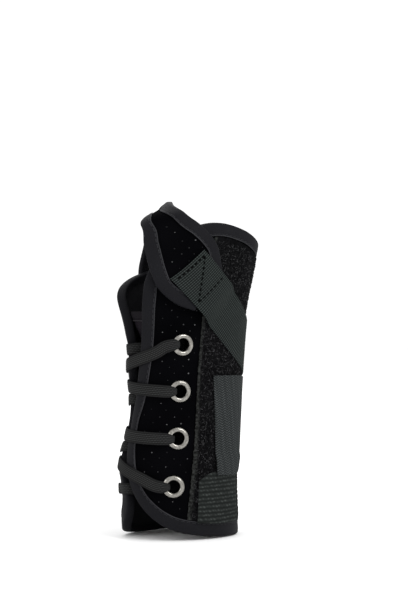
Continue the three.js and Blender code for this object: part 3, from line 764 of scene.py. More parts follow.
def sheet_faces(rows, columns, keep=None):
    """Faces of a closed sheet between an outer and an inner grid: both sides of each kept cell, and a wall
    on each border where a kept cell has no neighbour."""
    cells = grid_cells(rows, columns)
    keep = np.ones(cells.shape[:2], bool) if keep is None else keep
    inner = rows * columns
    faces = [cells[keep], cells[keep][:, ::-1] + inner]
    beyond = np.pad(keep, 1)
    for side, (di, dj) in enumerate(((0, -1), (1, 0), (0, 1), (-1, 0))):
        bare = keep & ~beyond[1 + di : rows + di, 1 + dj : columns + dj]
        start = cells[bare][:, side]
        end = cells[bare][:, (side + 1) % 4]
        faces.append(np.stack([end, start, start + inner, end + inner], axis=1))
    return np.concatenate(faces)


def put_sheet(name, outer, inner, finish, flat, relief, marks=None, keep=None):
    """Closed sheet from its outer and inner grids of points; flat places and marks serve both sides."""
    rows, columns = outer.shape[:2]
    values = {"relief": np.stack([relief, relief]), "inside": np.stack([0 * relief, 0 * relief + 1])}
    for mark, value in (marks or {}).items():
        values[mark] = np.stack([value, value])
    quads = sheet_faces(rows, columns, keep)
    return put_piece(name, np.stack([outer, inner]), quads, finish, np.stack([flat, flat]), values)


def tube_faces(count, rings, sides):
    """Faces of many like tubes with capped ends, whose points are numbered tube by tube and ring by ring;
    the caps pair points across the ring, so sides is even."""
    ids = np.arange(rings * sides).reshape(rings, sides)
    ahead = np.roll(ids, -1, axis=1)
    walls = np.stack([ids[:-1], ahead[:-1], ahead[1:], ids[1:]], axis=-1).reshape(-1, 4)
    half = np.arange(sides // 2 - 1)
    cap = np.stack([half, sides - 1 - half, sides - 2 - half, half + 1], axis=-1)
    one = np.concatenate([walls, cap, cap[:, ::-1] + (rings - 1) * sides])
    return (one[None] + (np.arange(count) * rings * sides)[:, None, None]).reshape(-1, 4)


# Finishes


def add_node(finish, kind, inputs=None, **settings):
    """Shader node with its settings, and inputs that are each a value or another node's output."""
    node = finish.node_tree.nodes.new(kind)
    for key, value in settings.items():
        setattr(node, key, value)
    for key, value in (inputs or {}).items():
        if isinstance(value, bpy.types.NodeSocket):
            finish.node_tree.links.new(value, node.inputs[key])
        else:
            node.inputs[key].default_value = value
    return node


def blank_finish(name, roughness, specular, metallic=0.0):
    """New material and its main shader, with the given roughness, specular share and metal share."""
    finish = bpy.data.materials.new(name)
    finish.use_nodes = True
    shader = finish.node_tree.nodes["Principled BSDF"]
    shader.inputs["Roughness"].default_value = roughness
    shader.inputs["Specular IOR Level"].default_value = specular
    shader.inputs["Metallic"].default_value = metallic
    return finish, shader


def ramp(finish, value, stops):
    """Colour ramp over a value; stops are (place, colour)."""
    node = add_node(finish, "ShaderNodeValToRGB", {"Fac": value})
    line = node.color_ramp
    while len(line.elements) < len(stops):
        line.elements.new(0.5)
    for element, (place, colour) in zip(line.elements, stops):
        element.position = place
        element.color = (*colour, 1)
    return node.outputs["Color"]


def blend_colours(finish, share, first, second):
    """First colour, passing into the second by a share."""
    inputs = {"Fac": share, "Color1": first, "Color2": second}
    return add_node(finish, "ShaderNodeMixRGB", inputs).outputs["Color"]


def sum_of(finish, value, factor, rest):
    """value times factor plus rest."""
    inputs = {0: value, 1: factor, 2: rest}
    return add_node(finish, "ShaderNodeMath", inputs, operation="MULTIPLY_ADD").outputs[0]


def cloth_finish(
    name, stops, roughness, specular, nap, weave_share, bump=0.25, inside=None, raw_edge=None
):
    """Cloth whose colour climbs a ramp by three layers: the relief mark, mostly the height of its weave, a
    fine nap and broad wear, both noise on the flat map. Where the relief mark is a height, it paints shade
    into the low places and highlights on the high ones. The nap also bumps it, and the inner side or a raw
    edge may have a colour of its own. nap is how many grains there are to a millimetre."""
    finish, shader = blank_finish(name, roughness, specular)
    place = add_node(finish, "ShaderNodeUVMap", uv_map="flat").outputs["UV"]
    fine_inputs = {"Vector": place, "Scale": nap, "Detail": 4.0, "Roughness": 0.65}
    fine = add_node(finish, "ShaderNodeTexNoise", fine_inputs).outputs["Fac"]
    broad_inputs = {"Vector": place, "Scale": 0.045, "Detail": 3.0, "Roughness": 0.5}
    broad = add_node(finish, "ShaderNodeTexNoise", broad_inputs).outputs["Fac"]
    relief = add_node(finish, "ShaderNodeAttribute", attribute_name="relief").outputs["Fac"]
    plain_share = 1 - weave_share
    tone = sum_of(finish, fine, 0.8 * plain_share, -0.4 * plain_share)
    tone = sum_of(finish, broad, 0.5 * plain_share, tone)
    # Painted shade and highlight: where the relief mark follows the height of the cloth, low places take the
    # dark end of the ramp and high places the light end
    tone = sum_of(finish, relief, weave_share, tone)
    colour = ramp(finish, tone, stops)
    if inside is not None:
        lining = ramp(finish, fine, [(0.3, [0.6 * part for part in inside]), (0.7, inside)])
        inner = add_node(finish, "ShaderNodeAttribute", attribute_name="inside").outputs["Fac"]
        colour = blend_colours(finish, inner, colour, lining)
    if raw_edge is not None:
        frayed = ramp(finish, fine, [(0.36, [0.12 * part for part in raw_edge]), (0.64, raw_edge)])
        border = add_node(finish, "ShaderNodeAttribute", attribute_name="raw_edge").outputs["Fac"]
        colour = blend_colours(finish, border, colour, frayed)
    finish.node_tree.links.new(colour, shader.inputs["Base Color"])
    bump_inputs = {"Height": fine, "Strength": bump, "Distance": 0.0004}
    normal = add_node(finish, "ShaderNodeBump", bump_inputs).outputs["Normal"]
    finish.node_tree.links.new(normal, shader.inputs["Normal"])
    return finish


suede = cloth_finish(
    "black_suede",
    [(0.1, (0.0007, 0.0007, 0.001)), (0.6, (0.002, 0.002, 0.0026)), (1.0, (0.006, 0.006, 0.0075))],
    roughness=0.95, specular=0.01, nap=1.4, weave_share=0.25, bump=0.3, inside=(0.02, 0.02, 0.022),
)
tape_cloth = cloth_finish(
    "charcoal_edge_tape",
    [
        (0.0, (0.0032, 0.0032, 0.0038)),
        (0.42, (0.0078, 0.0078, 0.0094)),
        (0.64, (0.031, 0.031, 0.034)),
        (1.0, (0.06, 0.06, 0.064)),
    ],
    roughness=0.62, specular=0.045, nap=1.3, weave_share=0.5, bump=0.25,
)
loop_cloth = cloth_finish(
    "black_loop_fabric",
    [(0.15, (0.0012, 0.0012, 0.0014)), (0.45, (0.0055, 0.0055, 0.006)), (0.75, (0.034, 0.034, 0.0355))],
    roughness=0.95, specular=0.02, nap=0.7, weave_share=0.3, bump=0.6, raw_edge=(0.038, 0.04, 0.038),
)
pile_yarn = cloth_finish(
    "grey_loop_yarn",
    [(0.0, (0.003, 0.003, 0.0034)), (0.5, (0.021, 0.021, 0.022)), (1.0, (0.076, 0.076, 0.079))],
    roughness=0.8, specular=0.03, nap=3.0, weave_share=0.85, bump=0.1,
)
webbing = cloth_finish(
    "dark_green_grey_webbing",
    [(0.1, (0.0045, 0.0054, 0.0052)), (0.5, (0.0165, 0.02, 0.019)), (1.0, (0.068, 0.081, 0.077))],
    roughness=0.75, specular=0.03, nap=2.0, weave_share=0.8, bump=0.15,
)
twill = cloth_finish(
    "grey_herringbone_twill",
    [(0.1, (0.009, 0.01, 0.0103)), (0.5, (0.0255, 0.0285, 0.029)), (1.0, (0.085, 0.092, 0.093))],
    roughness=0.75, specular=0.03, nap=2.0, weave_share=0.8, bump=0.2,
)
elastic_weave = cloth_finish(
    "ribbed_elastic",
    [(0.05, (0.005, 0.0058, 0.0055)), (0.5, (0.0185, 0.021, 0.02)), (1.0, (0.06, 0.067, 0.064))],
    roughness=0.8, specular=0.03, nap=1.2, weave_share=0.7, bump=0.25,
)
lace_braid = cloth_finish(
    "charcoal_lace_braid",
    [(0.08, (0.0045, 0.0045, 0.0047)), (0.5, (0.0175, 0.0178, 0.0178)), (1.0, (0.068, 0.07, 0.069))],
    roughness=0.72, specular=0.04, nap=2.4, weave_share=0.8, bump=0.15,
)
tongue_cloth = cloth_finish(
    "dark_purple_tongue_cloth",
    [(0.1, (0.003, 0.0026, 0.0034)), (0.5, (0.009, 0.0076, 0.01)), (1.0, (0.026, 0.022, 0.028))],
    roughness=0.8, specular=0.03, nap=1.8, weave_share=0.4, bump=0.25,
)
hem_weave = cloth_finish(
    "woven_hem_tape",
    [(0.05, (0.0022, 0.002, 0.0025)), (0.5, (0.0095, 0.0085, 0.0102)), (1.0, (0.042, 0.039, 0.043))],
    roughness=0.8, specular=0.03, nap=2.2, weave_share=0.7, bump=0.2,
)
dark_thread = cloth_finish(
    "black_thread",
    [(0.2, (0.0006, 0.0007, 0.0007)), (0.8, (0.0022, 0.0024, 0.0024))],
    roughness=0.7, specular=0.02, nap=4.0, weave_share=0.5, bump=0.1,
)
tape_thread = cloth_finish(
    "charcoal_thread",
    [(0.2, (0.008, 0.008, 0.0094)), (0.8, (0.03, 0.03, 0.033))],
    roughness=0.65, specular=0.04, nap=4.0, weave_share=0.5, bump=0.1,
)
punch_rim = cloth_finish(
    "pale_punched_hole",
    [(0.1, (0.0015, 0.0015, 0.002)), (0.5, (0.02, 0.02, 0.0215)), (1.0, (0.14, 0.14, 0.144))],
    roughness=0.85, specular=0.02, nap=0.35, weave_share=0.8, bump=0.1,
)


def nickel_finish():
    """Polished plate, slightly warm, with faint rubbed patches in its roughness and colour, and painted
    shade in the
    throat of the eyelet: a dark colour there stands in for the shade inside the hole."""
    finish, shader = blank_finish("polished_nickel", 0.2, 0.5, metallic=1.0)
    place = add_node(finish, "ShaderNodeTexCoord").outputs["Object"]
    rub_inputs = {"Vector": place, "Scale": 900.0, "Detail": 3.0, "Roughness": 0.6}
    rub = add_node(finish, "ShaderNodeTexNoise", rub_inputs).outputs["Fac"]
    plate = ramp(finish, rub, [(0.3, (0.17, 0.163, 0.148)), (0.7, (0.33, 0.32, 0.295))])
    painted_throat_shade = ramp(finish, rub, [(0.3, (0.03, 0.029, 0.027)), (0.7, (0.055, 0.053, 0.049))])
    # Painted shade: where the crown mark is 0, in the throat, the plate takes the dark colour of the painted
    # shade
    crown = add_node(finish, "ShaderNodeAttribute", attribute_name="relief").outputs["Fac"]
    colour = blend_colours(finish, crown, painted_throat_shade, plate)
    finish.node_tree.links.new(colour, shader.inputs["Base Color"])
    finish.node_tree.links.new(sum_of(finish, rub, 0.2, 0.1), shader.inputs["Roughness"])
    return finish


nickel = nickel_finish()

# Camera

VIEW_TURN = np.radians(42)
VIEW_DISTANCE = 1100
VIEW_HEIGHT = 48
VIEW_ASIDE = 10.8
LENS = 107.84
towards = np.array([np.sin(VIEW_TURN), np.cos(VIEW_TURN), 0])
rightwards = np.array([np.cos(VIEW_TURN), -np.sin(VIEW_TURN), 0])
camera = bpy.data.objects.new("camera", bpy.data.cameras.new("camera"))
camera.data.sensor_fit = "VERTICAL"
camera.data.sensor_height = 36
camera.data.sensor_width = 36
camera.data.lens = LENS
camera.location = (VIEW_ASIDE * rightwards - VIEW_DISTANCE * towards + [0, 0, VIEW_HEIGHT]) * MM
camera.rotation_euler = (np.pi / 2, 0, -VIEW_TURN)
bpy.context.collection.objects.link(camera)
bpy.context.scene.camera = camera


# Pieces


def put_panel(name, edge, corners, seam, holes, node, columns, rows):
    """Padded panel: both faces follow the flat patch, the outer one with a soft roll beside the tape and a
    slight unevenness. The roll counts its insets on a panel of PANEL_WIDTH by PANEL_HEIGHT. Cells under an
    eyelet are left out, and the ring of places round each such opening is drawn to a circle."""
    u, v = even_grid(columns, rows)
    flat = panel_flat(edge, corners, seam, u, v)
    holes = np.array(holes)
    away = np.linalg.norm(flat[:, :, None] - holes, axis=-1)
    nearest = away.argmin(axis=-1)
    middle = (flat[:-1, :-1] + flat[1:, 1:]) / 2
    keep = np.linalg.norm(middle[:, :, None] - holes, axis=-1).min(axis=-1) > HOLE_RADIUS
    around = np.pad(keep, 1, constant_values=True)
    touching = np.stack([around[:-1, :-1], around[1:, :-1], around[:-1, 1:], around[1:, 1:]])
    rim = touching.any(axis=0) & ~touching.all(axis=0)
    drawn = holes[nearest] + HOLE_RADIUS * unit(flat - holes[nearest])
    flat = np.where(rim[..., None], drawn, flat)
    s, z = flat[..., 0], flat[..., 1]
    inset = np.minimum.reduce([u * PANEL_WIDTH, v * PANEL_HEIGHT, (1 - v) * PANEL_HEIGHT])
    roll = 0.22 * np.exp(-(((inset - 10) / 4) ** 2)) - 0.25 * (1 - ease(inset, 0, 7))
    uneven = 0.12 * soft_noise(s, z, seed=11, sizes=(23, 17, 31, 12))
    outer = wrap(s, z, WALL + roll + uneven)
    inner = wrap(s, z, 0.08 * soft_noise(s, z, seed=12, sizes=(20, 13)))
    relief = 0.5 + 0.5 * soft_noise(s, z, seed=13, sizes=(40, 26, 55))
    piece = put_sheet(name, outer, inner, suede, flat, relief, keep=keep)
    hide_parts(node)


# Rows across the two leaves of a folded tape, how far its fold reaches in, and its step along the edge
TAPE_LEAF_ROWS = 20
TAPE_BACK_ROWS = 5
TAPE_BEND = 1.1
TAPE_STEP = 1.1


def tape_skins(width, base, top, tape, slack):
    """Outer and inner skin of a folded tape, as rows of (inset, lift): the outer leaf from its sewn edge to
    the fold, a rounded fold, and the inner leaf to its middle. The outer leaf is lightly crowned, has a
    groove along its stitches and a raised lip beyond it."""
    outer_lift = top + slack + tape
    inner_lift = base - slack - tape
    middle_lift = (outer_lift + inner_lift) / 2
    half = (outer_lift - inner_lift) / 2
    leaf = np.linspace(1, 0, TAPE_LEAF_ROWS)
    leaf_inset = lerp(TAPE_BEND, width, leaf)
    crown = 0.1 * np.sin(np.pi * ease(leaf_inset, 0, width - 1))
    groove = -0.22 * np.exp(-(((leaf_inset - (width - STITCH_INSET)) / 0.42) ** 2))
    lip = 0.08 * np.exp(-(((leaf_inset - (width - 0.5)) / 0.4) ** 2))
    edge = -0.3 * tape * (leaf > 0.999)
    turn = np.linspace(0, np.pi, 9)[1:-1]
    fold_inset = TAPE_BEND * (1 - np.sin(turn) ** 0.8)
    fold_lift = middle_lift + half * np.sign(np.cos(turn)) * np.abs(np.cos(turn)) ** 0.8
    back_inset = np.linspace(TAPE_BEND, (width + tape) / 2, TAPE_BACK_ROWS)
    outer = np.concatenate([
        np.stack([leaf_inset, outer_lift + crown + groove + lip + edge], axis=1),
        np.stack([fold_inset, fold_lift], axis=1),
        np.stack([back_inset, np.full_like(back_inset, inner_lift)], axis=1),
    ])
    inside_inset = TAPE_BEND - (TAPE_BEND - tape) / TAPE_BEND * (TAPE_BEND - fold_inset)
    inside_lift = middle_lift + (half - tape) / half * (fold_lift - middle_lift)
    inner = np.concatenate([
        np.stack([leaf_inset, outer_lift - tape - edge], axis=1),
        np.stack([inside_inset, inside_lift], axis=1),
        np.stack([back_inset, np.full_like(back_inset, inner_lift + tape)], axis=1),
    ])
    return outer, inner


def tape_stretch(edge, stations, lift, width):
    """How much wider a tape would lie on the outside of the bend than it is flat: the distance between its
    two edges at its lift, over its width."""
    sides = [on_form(*edge.at(stations, inset).T, lift) for inset in (0, width)]
    return np.linalg.norm(sides[1] - sides[0], axis=-1) / width


def stitch_path(edge, lift, width):
    """Flat path of the stitches along a tape, at their inset from the sewn edge, measured on the tape."""
    stations = np.linspace(0, 1, 400)
    return edge.at(stations, (width - STITCH_INSET) / tape_stretch(edge, stations, lift, width))


def put_tape(name, edge, base, top, tape, width, slack, node, finish, seed):
    """Folded tape: its two skins carried along the edge line, with small puckers along the stitches."""
    stations = np.linspace(0, 1, int(edge.length / TAPE_STEP) + 1)
    outer, inner = tape_skins(width, base, top, tape, slack)
    run = stations[:, None] * edge.length
    pucker = 0.07 * soft_noise(run, 0 * run, seed=seed, sizes=(5.3, 7.9, 12.7)) * ease(outer[:, 0], 0.5, 5)
    stretch = tape_stretch(edge, stations, top + slack + tape, width)[:, None]

    def place(skin, lift):
        """One skin carried along the edge, with its insets drawn in where the bend would widen them."""
        flat = edge.at(stations[:, None], skin[None, :, 0] / stretch)
        return wrap(flat[..., 0], flat[..., 1], lift)

    outer_points = place(outer, outer[None, :, 1] + pucker)
    inner_points = place(inner, np.broadcast_to(inner[None, :, 1], pucker.shape))
    skin_run = run_along(outer)
    flat = np.stack(np.broadcast_arrays(run, skin_run[None, :]), axis=-1)
    # Colour along the tape: the raised lip beside the sewn edge is coloured lighter, and the stitch groove
    # darker as painted shade
    lip = np.exp(-((skin_run - 0.35) / 0.5) ** 2)
    groove = np.exp(-((skin_run - 1.3) / 0.45) ** 2)
    relief = np.broadcast_to(0.5 + 0.5 * lip - 0.32 * groove, pucker.shape)
    piece = put_sheet(name, outer_points, inner_points, finish, flat, relief)
    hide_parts(node)


def put_stitches(name, paths, lift, finish, length=2.3, gap=0.9, radius=0.24):
    """Runs of stitches along flat paths: each is a short thread that rises from the cloth and dips back in
    a parabola, a tube of four sides and five rings. A third column of a path is added to the lift."""
    reach = 0.3
    share = np.linspace(-0.5, 0.5, 5)
    angle = np.radians([45, 135, 225, 315])
    tubes = []
    for path in paths:
        run = run_along(path)
        count = max(1, int((run[-1] + gap) / (length + gap)))
        centres = (np.arange(count) + 0.5) * run[-1] / count
        where = centres[:, None] + share * length
        columns = [np.interp(where, run, column) for column in path.T]
        ahead = [np.interp(where + reach, run, column) for column in path.T]
        behind = [np.interp(where - reach, run, column) for column in path.T]
        way = unit(np.stack([a - b for a, b in zip(ahead[:2], behind[:2])], axis=-1))
        aside = radius * np.cos(angle)
        s = columns[0][..., None] + way[..., 1:] * aside
        z = columns[1][..., None] - way[..., :1] * aside
        height = lift + columns[2] if len(columns) > 2 else lift + 0 * columns[0]
        arch = 0.25 * radius - 4 * 1.1 * radius * share**2
        tubes.append(wrap(s, z, (height + arch)[..., None] + radius * np.sin(angle)))
    points = np.concatenate(tubes)
    quads = tube_faces(len(points), 5, 4)
    flat = np.stack([points[..., 0], points[..., 0] + points[..., 2]], axis=-1)
    # Painted shade and highlight: the top of each thread is coloured lighter and its underside, against the
    # cloth, darker
    relief = np.broadcast_to(0.5 + 0.5 * np.sin(angle), points.shape[:3])
    return put_piece(name, points, quads, finish, flat, {"relief": relief})


def line_path(edge, inset, start=0.0, end=1.0, count=400):
    """Flat path beside an edge line."""
    return edge.at(np.linspace(start, end, count), inset)


def put_punches(name, places, lift):
    """Punched holes: shallow cups on a ring of ten, from a soft outer lip down to a pale floor, one for
    each flat place. Each is moved a little, and its size and lightness vary, by seeded draws."""
    sides = 10
    angle = 2 * np.pi * np.arange(sides) / sides
    draw = np.random.default_rng(5)
    places = places + draw.uniform(-0.7, 0.7, places.shape)
    radius = PUNCH_RADIUS * np.array([1.55, 1.25, 1.0, 0.85, 0.3])
    height = np.array([-0.12, 0.16, 0.15, 0.05, 0.03])
    size = draw.uniform(0.6, 1.15, len(places))[:, None, None]
    s = places[:, None, None, 0] + size * radius[:, None] * np.cos(angle)
    z = places[:, None, None, 1] + size * radius[:, None] * np.sin(angle)
    points = wrap(s, z, lift + PUNCH_LIFT + height[:, None] + 0 * s)
    quads = tube_faces(len(places), len(radius), sides)
    tone = np.array([0.0, 0.05, 0.25, 0.9, 1.0])
    lit = draw.uniform(0.3, 1, len(places))[:, None, None] ** 1.2
    relief = np.broadcast_to(lit * tone[:, None], s.shape)
    put_piece(name, points, quads, punch_rim, np.stack([s, z], axis=-1), {"relief": relief})


def diamond_places(outline):
    """Places inside an outline of two even grids, the second halfway between the places of the first."""
    low = np.floor(outline.min(axis=0) / [PUNCH_S, PUNCH_Z])
    high = np.ceil(outline.max(axis=0) / [PUNCH_S, PUNCH_Z])
    columns, rows = (np.arange(low[axis], high[axis] + 1) for axis in (0, 1))
    s, z = np.meshgrid(columns * PUNCH_S, rows * PUNCH_Z, indexing="ij")
    even = np.stack([s, z], axis=-1).reshape(-1, 2)
    odd = even + [PUNCH_S / 2, PUNCH_Z / 2]
    places = np.concatenate([even, odd])
    return places[inside_outline(outline, places)]


def clear_of(places, holes, reach):
    """Those of the places that are further than the reach from every hole."""
    away = np.linalg.norm(places[:, None] - np.array(holes), axis=-1).min(axis=1)
    return places[away > reach]


put_panel(
    "dorsal_suede", dorsal_edge, DORSAL_CORNERS, seam_at, NEAR_HOLES, "dorsal_panel",
    columns=100, rows=150,
)
put_panel(
    "palmar_suede", palmar_edge, PALMAR_CORNERS, palm_seam_at, FAR_HOLES, "palmar_panel",
    columns=86, rows=140,
)
for side, edge, seed in (("dorsal", dorsal_edge, 21), ("palmar", palmar_edge, 22)):
    put_tape(
        f"{side}_tape", edge, base=0, top=WALL, tape=TAPE, width=TAPE_WIDTH, slack=SEWN_GAP,
        node=f"{side}_binding", finish=tape_cloth, seed=seed,
    )

# Outlines of the punched suede: from the tape to the loop panel, and from the tape to the seam
loop_places = loop_flat(*even_grid(70, 150))
seam_z = np.linspace(70, -78, 40)
dorsal_field = np.concatenate([
    line_path(dorsal_edge, PUNCH_INSET, *DORSAL_PUNCHED, count=200),
    loop_places[0, ::-6] - [PUNCH_TO_LOOP, 0],
])
palmar_field = np.concatenate([
    line_path(palmar_edge, PUNCH_INSET, count=240),
    np.stack([palm_seam_at(seam_z) + PUNCH_TO_SEAM, seam_z], axis=1),
])
put_punches("dorsal_punches", clear_of(diamond_places(dorsal_field), NEAR_HOLES, PUNCH_CLEAR), WALL)
put_punches("palmar_punches", clear_of(diamond_places(palmar_field), FAR_HOLES, PUNCH_CLEAR), WALL)

# Stitches lie in the groove of their tape
STITCH_SINK = 0.12
for side, edge in (("dorsal", dorsal_edge), ("palmar", palmar_edge)):
    put_stitches(
        f"{side}_tape_stitches", [stitch_path(edge, TAPE_TOP, TAPE_WIDTH)],
        TAPE_TOP - STITCH_SINK, tape_thread,
    )


def put_loop_fabric():
    """Loop panel: the flat patch at the loop lift, roughened by short seeded noise. Its left side is thinner
    and cut ragged, with a pale raw edge of uneven width that grows towards the hem."""
    s, z = loop_places[..., 0], loop_places[..., 1]
    draw = np.random.default_rng(31)
    fuzz = draw.uniform(-0.13, 0.1, s.shape)
    from_left = s - loop_places[:1, :, 0]
    rim = 0.35 + 0.65 * ease(from_left, 0, 0.6)
    ragged = s + 0.35 * soft_noise(z, 0 * z, seed=33, sizes=(2.3, 3.7, 6.1)) * (1 - ease(from_left, 0, 3))
    outer = wrap(ragged, z, LOOP_BASE + LOOP_THICK * rim + fuzz * rim)
    inner = wrap(ragged, z, LOOP_BASE)
    # Painted shade and highlight: the higher points of the fuzz are coloured lighter and the lower ones
    # darker
    relief = np.clip(0.35 + 2.2 * fuzz, 0, 1)
    width = lerp(1.0, 1.9, ease(-z, -20, 50)) + 0.6 * soft_noise(s, z, seed=34, sizes=(3.1, 5.3, 2.2))
    raw = {"raw_edge": 0.8 * (1 - ease(from_left, width - 0.5, width + 0.5))}
    piece = put_sheet("loop_fabric", outer, inner, loop_cloth, loop_places, relief, raw)
    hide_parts("loop_panel")
    return piece, laid_size(inner)


def put_loop_pile(count):
    """Loops of the pile: arcs of seeded place, size, turn, lean and lightness, each a tube of four sides and
    four rings that rises from the fabric in half a sine wave."""
    draw = np.random.default_rng(32)
    u, v = draw.uniform(0.012, 0.985, (2, count))
    places = loop_flat(u, v)
    turn = draw.uniform(0, 2 * np.pi, count)[:, None]
    reach = draw.uniform(0.45, 1.05, count)[:, None]
    height = draw.uniform(0.1, 0.42, count)[:, None]
    lean = draw.uniform(-0.5, 0.5, count)[:, None]
    thick = draw.uniform(0.09, 0.16, count)[:, None, None]
    share = np.linspace(0, 1, 4)
    along = reach * np.cos(np.pi * share)
    rise = height * np.sin(np.pi * share) - 0.06
    sideways = lean * np.sin(np.pi * share)
    middle_s = places[:, :1] + along * np.cos(turn) - sideways * np.sin(turn)
    middle_z = places[:, 1:] + along * np.sin(turn) + sideways * np.cos(turn)
    angle = np.radians([0, 90, 180, 270])
    aside = thick * np.cos(angle)
    s = middle_s[..., None] - np.sin(turn)[..., None] * aside
    z = middle_z[..., None] + np.cos(turn)[..., None] * aside
    points = wrap(s, z, LOOP_TOP + rise[..., None] + thick * np.sin(angle))
    shade = draw.uniform(0, 1, count)[:, None, None] ** 1.3
    # Painted highlight and shade: each loop is coloured lighter at the top of its arc and darker where it
    # dips into the fabric
    relief = np.broadcast_to(shade * (0.35 + 0.65 * np.sin(np.pi * share))[:, None], s.shape)
    flat = np.stack([s, z], axis=-1)
    quads = tube_faces(count, 4, 4)
    return put_piece("loop_pile", points, quads, pile_yarn, flat, {"relief": relief})


loop_fabric, (loop_size, loop_area) = put_loop_fabric()
loop_pile = put_loop_pile(count=6600)


def put_flap():
    """Web flap: the flat patch at the flap lift, a thin suede with a slight unevenness."""
    u, v = even_grid(150, 40)
    flat = flap_flat(u, v)
    s, z = flat[..., 0], flat[..., 1]
    uneven = 0.1 * soft_noise(s, z, seed=41, sizes=(18, 27, 13))
    outer = wrap(s, z, FLAP_TOP + uneven)
    inner = wrap(s, z, FLAP_BASE)
    relief = 0.5 + 0.5 * soft_noise(s, z, seed=42, sizes=(30, 21, 44))
    piece = put_sheet("flap_suede", outer, inner, suede, flat, relief)
    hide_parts("web_flap")


put_flap()

# Tapes of the flap; columns: side, edge line, width, seed
FLAP_TAPES = [("thumb", thumb_edge, THUMB_TAPE_WIDTH, 23), ("finger", finger_edge, TAPE_WIDTH, 24)]
for side, edge, width, seed in FLAP_TAPES:
    put_tape(
        f"flap_tape_{side}", edge, base=FLAP_BASE, top=FLAP_TOP, tape=FLAP_TAPE, width=width, slack=FLAP_GAP,
        node=f"flap_binding_{side}", finish=tape_cloth, seed=seed,
    )
put_stitches(
    "flap_tape_stitches",
    [stitch_path(edge, FLAP_TAPE_TOP, width) for _, edge, width, _ in FLAP_TAPES],
    FLAP_TAPE_TOP - STITCH_SINK, tape_thread,
)

# Two rows of stitches across the root of the flap, at these shares of its length
ROOT_ROWS = (0.955, 0.98)
across_root = np.linspace(0.3, 0.7, 60)
put_stitches(
    "flap_root_stitches",
    [flap_flat(0 * across_root + share, across_root) for share in ROOT_ROWS],
    FLAP_TOP + 0.05, tape_thread,
)
flap_field = np.concatenate([line_path(thumb_edge, 0), line_path(finger_edge, 0)[::-1]])
put_punches("flap_punches", clear_of(diamond_places(flap_field), flap_field, FLAP_PUNCH_INSET), FLAP_TOP)


def middle_line(path):
    """Middle line of a band, without its lifts."""
    return FlatLine([row[:2] for row in path])


def band_flat(path, u, v, width):
    """Flat places and lifts of a band of even width along its middle line, and how far along each is; the
    lift eases from row to row of the path."""
    middle = middle_line(path)
    rows = np.array(path)
    ends = run_along(rows[:, :2])
    along = u * ends[-1]
    i = np.clip(np.searchsorted(ends, along, side="right") - 1, 0, len(rows) - 2)
    share = (along - ends[i]) / (ends[i + 1] - ends[i])
    lift = lerp(rows[i, 2], rows[i + 1, 2], ease(share, 0, 1))
    sides = [on_form(*np.moveaxis(middle.at(u, side * width), -1, 0), lift) for side in (-0.5, 0.5)]
    stretch = np.linalg.norm(sides[1] - sides[0], axis=-1) / width
    return middle.at(u, (v - 0.5) * width / stretch), lift, u * middle.length


def put_band(name, path, width, weave, depth, finish, node, step, columns):
    """Woven band: its flat places at its lift, thick by the strap thickness with a rounded rim; the weave
    raises its outer face by the given depth."""
    length = middle_line(path).length
    u, v = edged_grid(int(length / step), columns, length, width)
    flat, lift, along = band_flat(path, u, v, width)
    across = (v - 0.5) * width
    # Painted shade and highlight: the weave height is also the relief mark, so the ribs are coloured lighter
    # and the grooves darker
    relief = weave(along, across)
    half = STRAP_THICK / 2 * rim_round(u, v, length, width)
    outer = wrap(flat[..., 0], flat[..., 1], lift + STRAP_THICK / 2 + half + depth * (relief - 0.5))
    inner = wrap(flat[..., 0], flat[..., 1], lift + STRAP_THICK / 2 - half)
    cloth = np.stack([along, across], axis=-1)
    piece = put_sheet(name, outer, inner, finish, cloth, relief)
    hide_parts(node)


def strap_weave(along, across):
    """Cross ribs of the webbing."""
    return rib_weave(along, across, STRAP_RIB, STRAP_WARP)


def twill_weave(along, across):
    """Herringbone with its columns standing across the strap."""
    return herringbone(across, along, TWILL_YARN, TWILL_COLUMN, slant=0.9)


# Box of stitches on the strap: its two ends along the strap and its half width
BOX_START = 2.4
BOX_END = 21.5
BOX_SIDE = 12.0


def strap_path(rows):
    """Path on the strap through rows of (along, across), with its lift."""
    length = middle_line(WEB_STRAP).length
    along, across = np.array(rows, float).T
    t = np.linspace(0, 1, 60)
    knots = np.linspace(0, 1, len(rows))
    u = np.interp(t, knots, along) / length
    v = np.interp(t, knots, across) / STRAP_WIDTH + 0.5
    flat, lift, _ = band_flat(WEB_STRAP, u, v, STRAP_WIDTH)
    return np.column_stack([flat, lift])


strap_stitches = put_stitches(
    "strap_box_stitches",
    [
        strap_path([[BOX_START, -BOX_SIDE], [BOX_START, BOX_SIDE]]),
        strap_path([[BOX_END, -BOX_SIDE], [BOX_END, BOX_SIDE]]),
        strap_path([[BOX_START, -BOX_SIDE], [BOX_END, BOX_SIDE]]),
    ],
    STRAP_THICK + 0.16, dark_thread, length=1.9, gap=1.1, radius=0.5,
)
put_band(
    "webbing_strap", WEB_STRAP, STRAP_WIDTH, strap_weave, depth=0.2, finish=webbing,
    node="web_strap", step=0.3, columns=60,
)
put_band(
    "pull_strap_twill", PULL_STRAP, PULL_WIDTH, twill_weave, depth=0.16, finish=twill,
    node="pull_strap", step=0.34, columns=96,
)


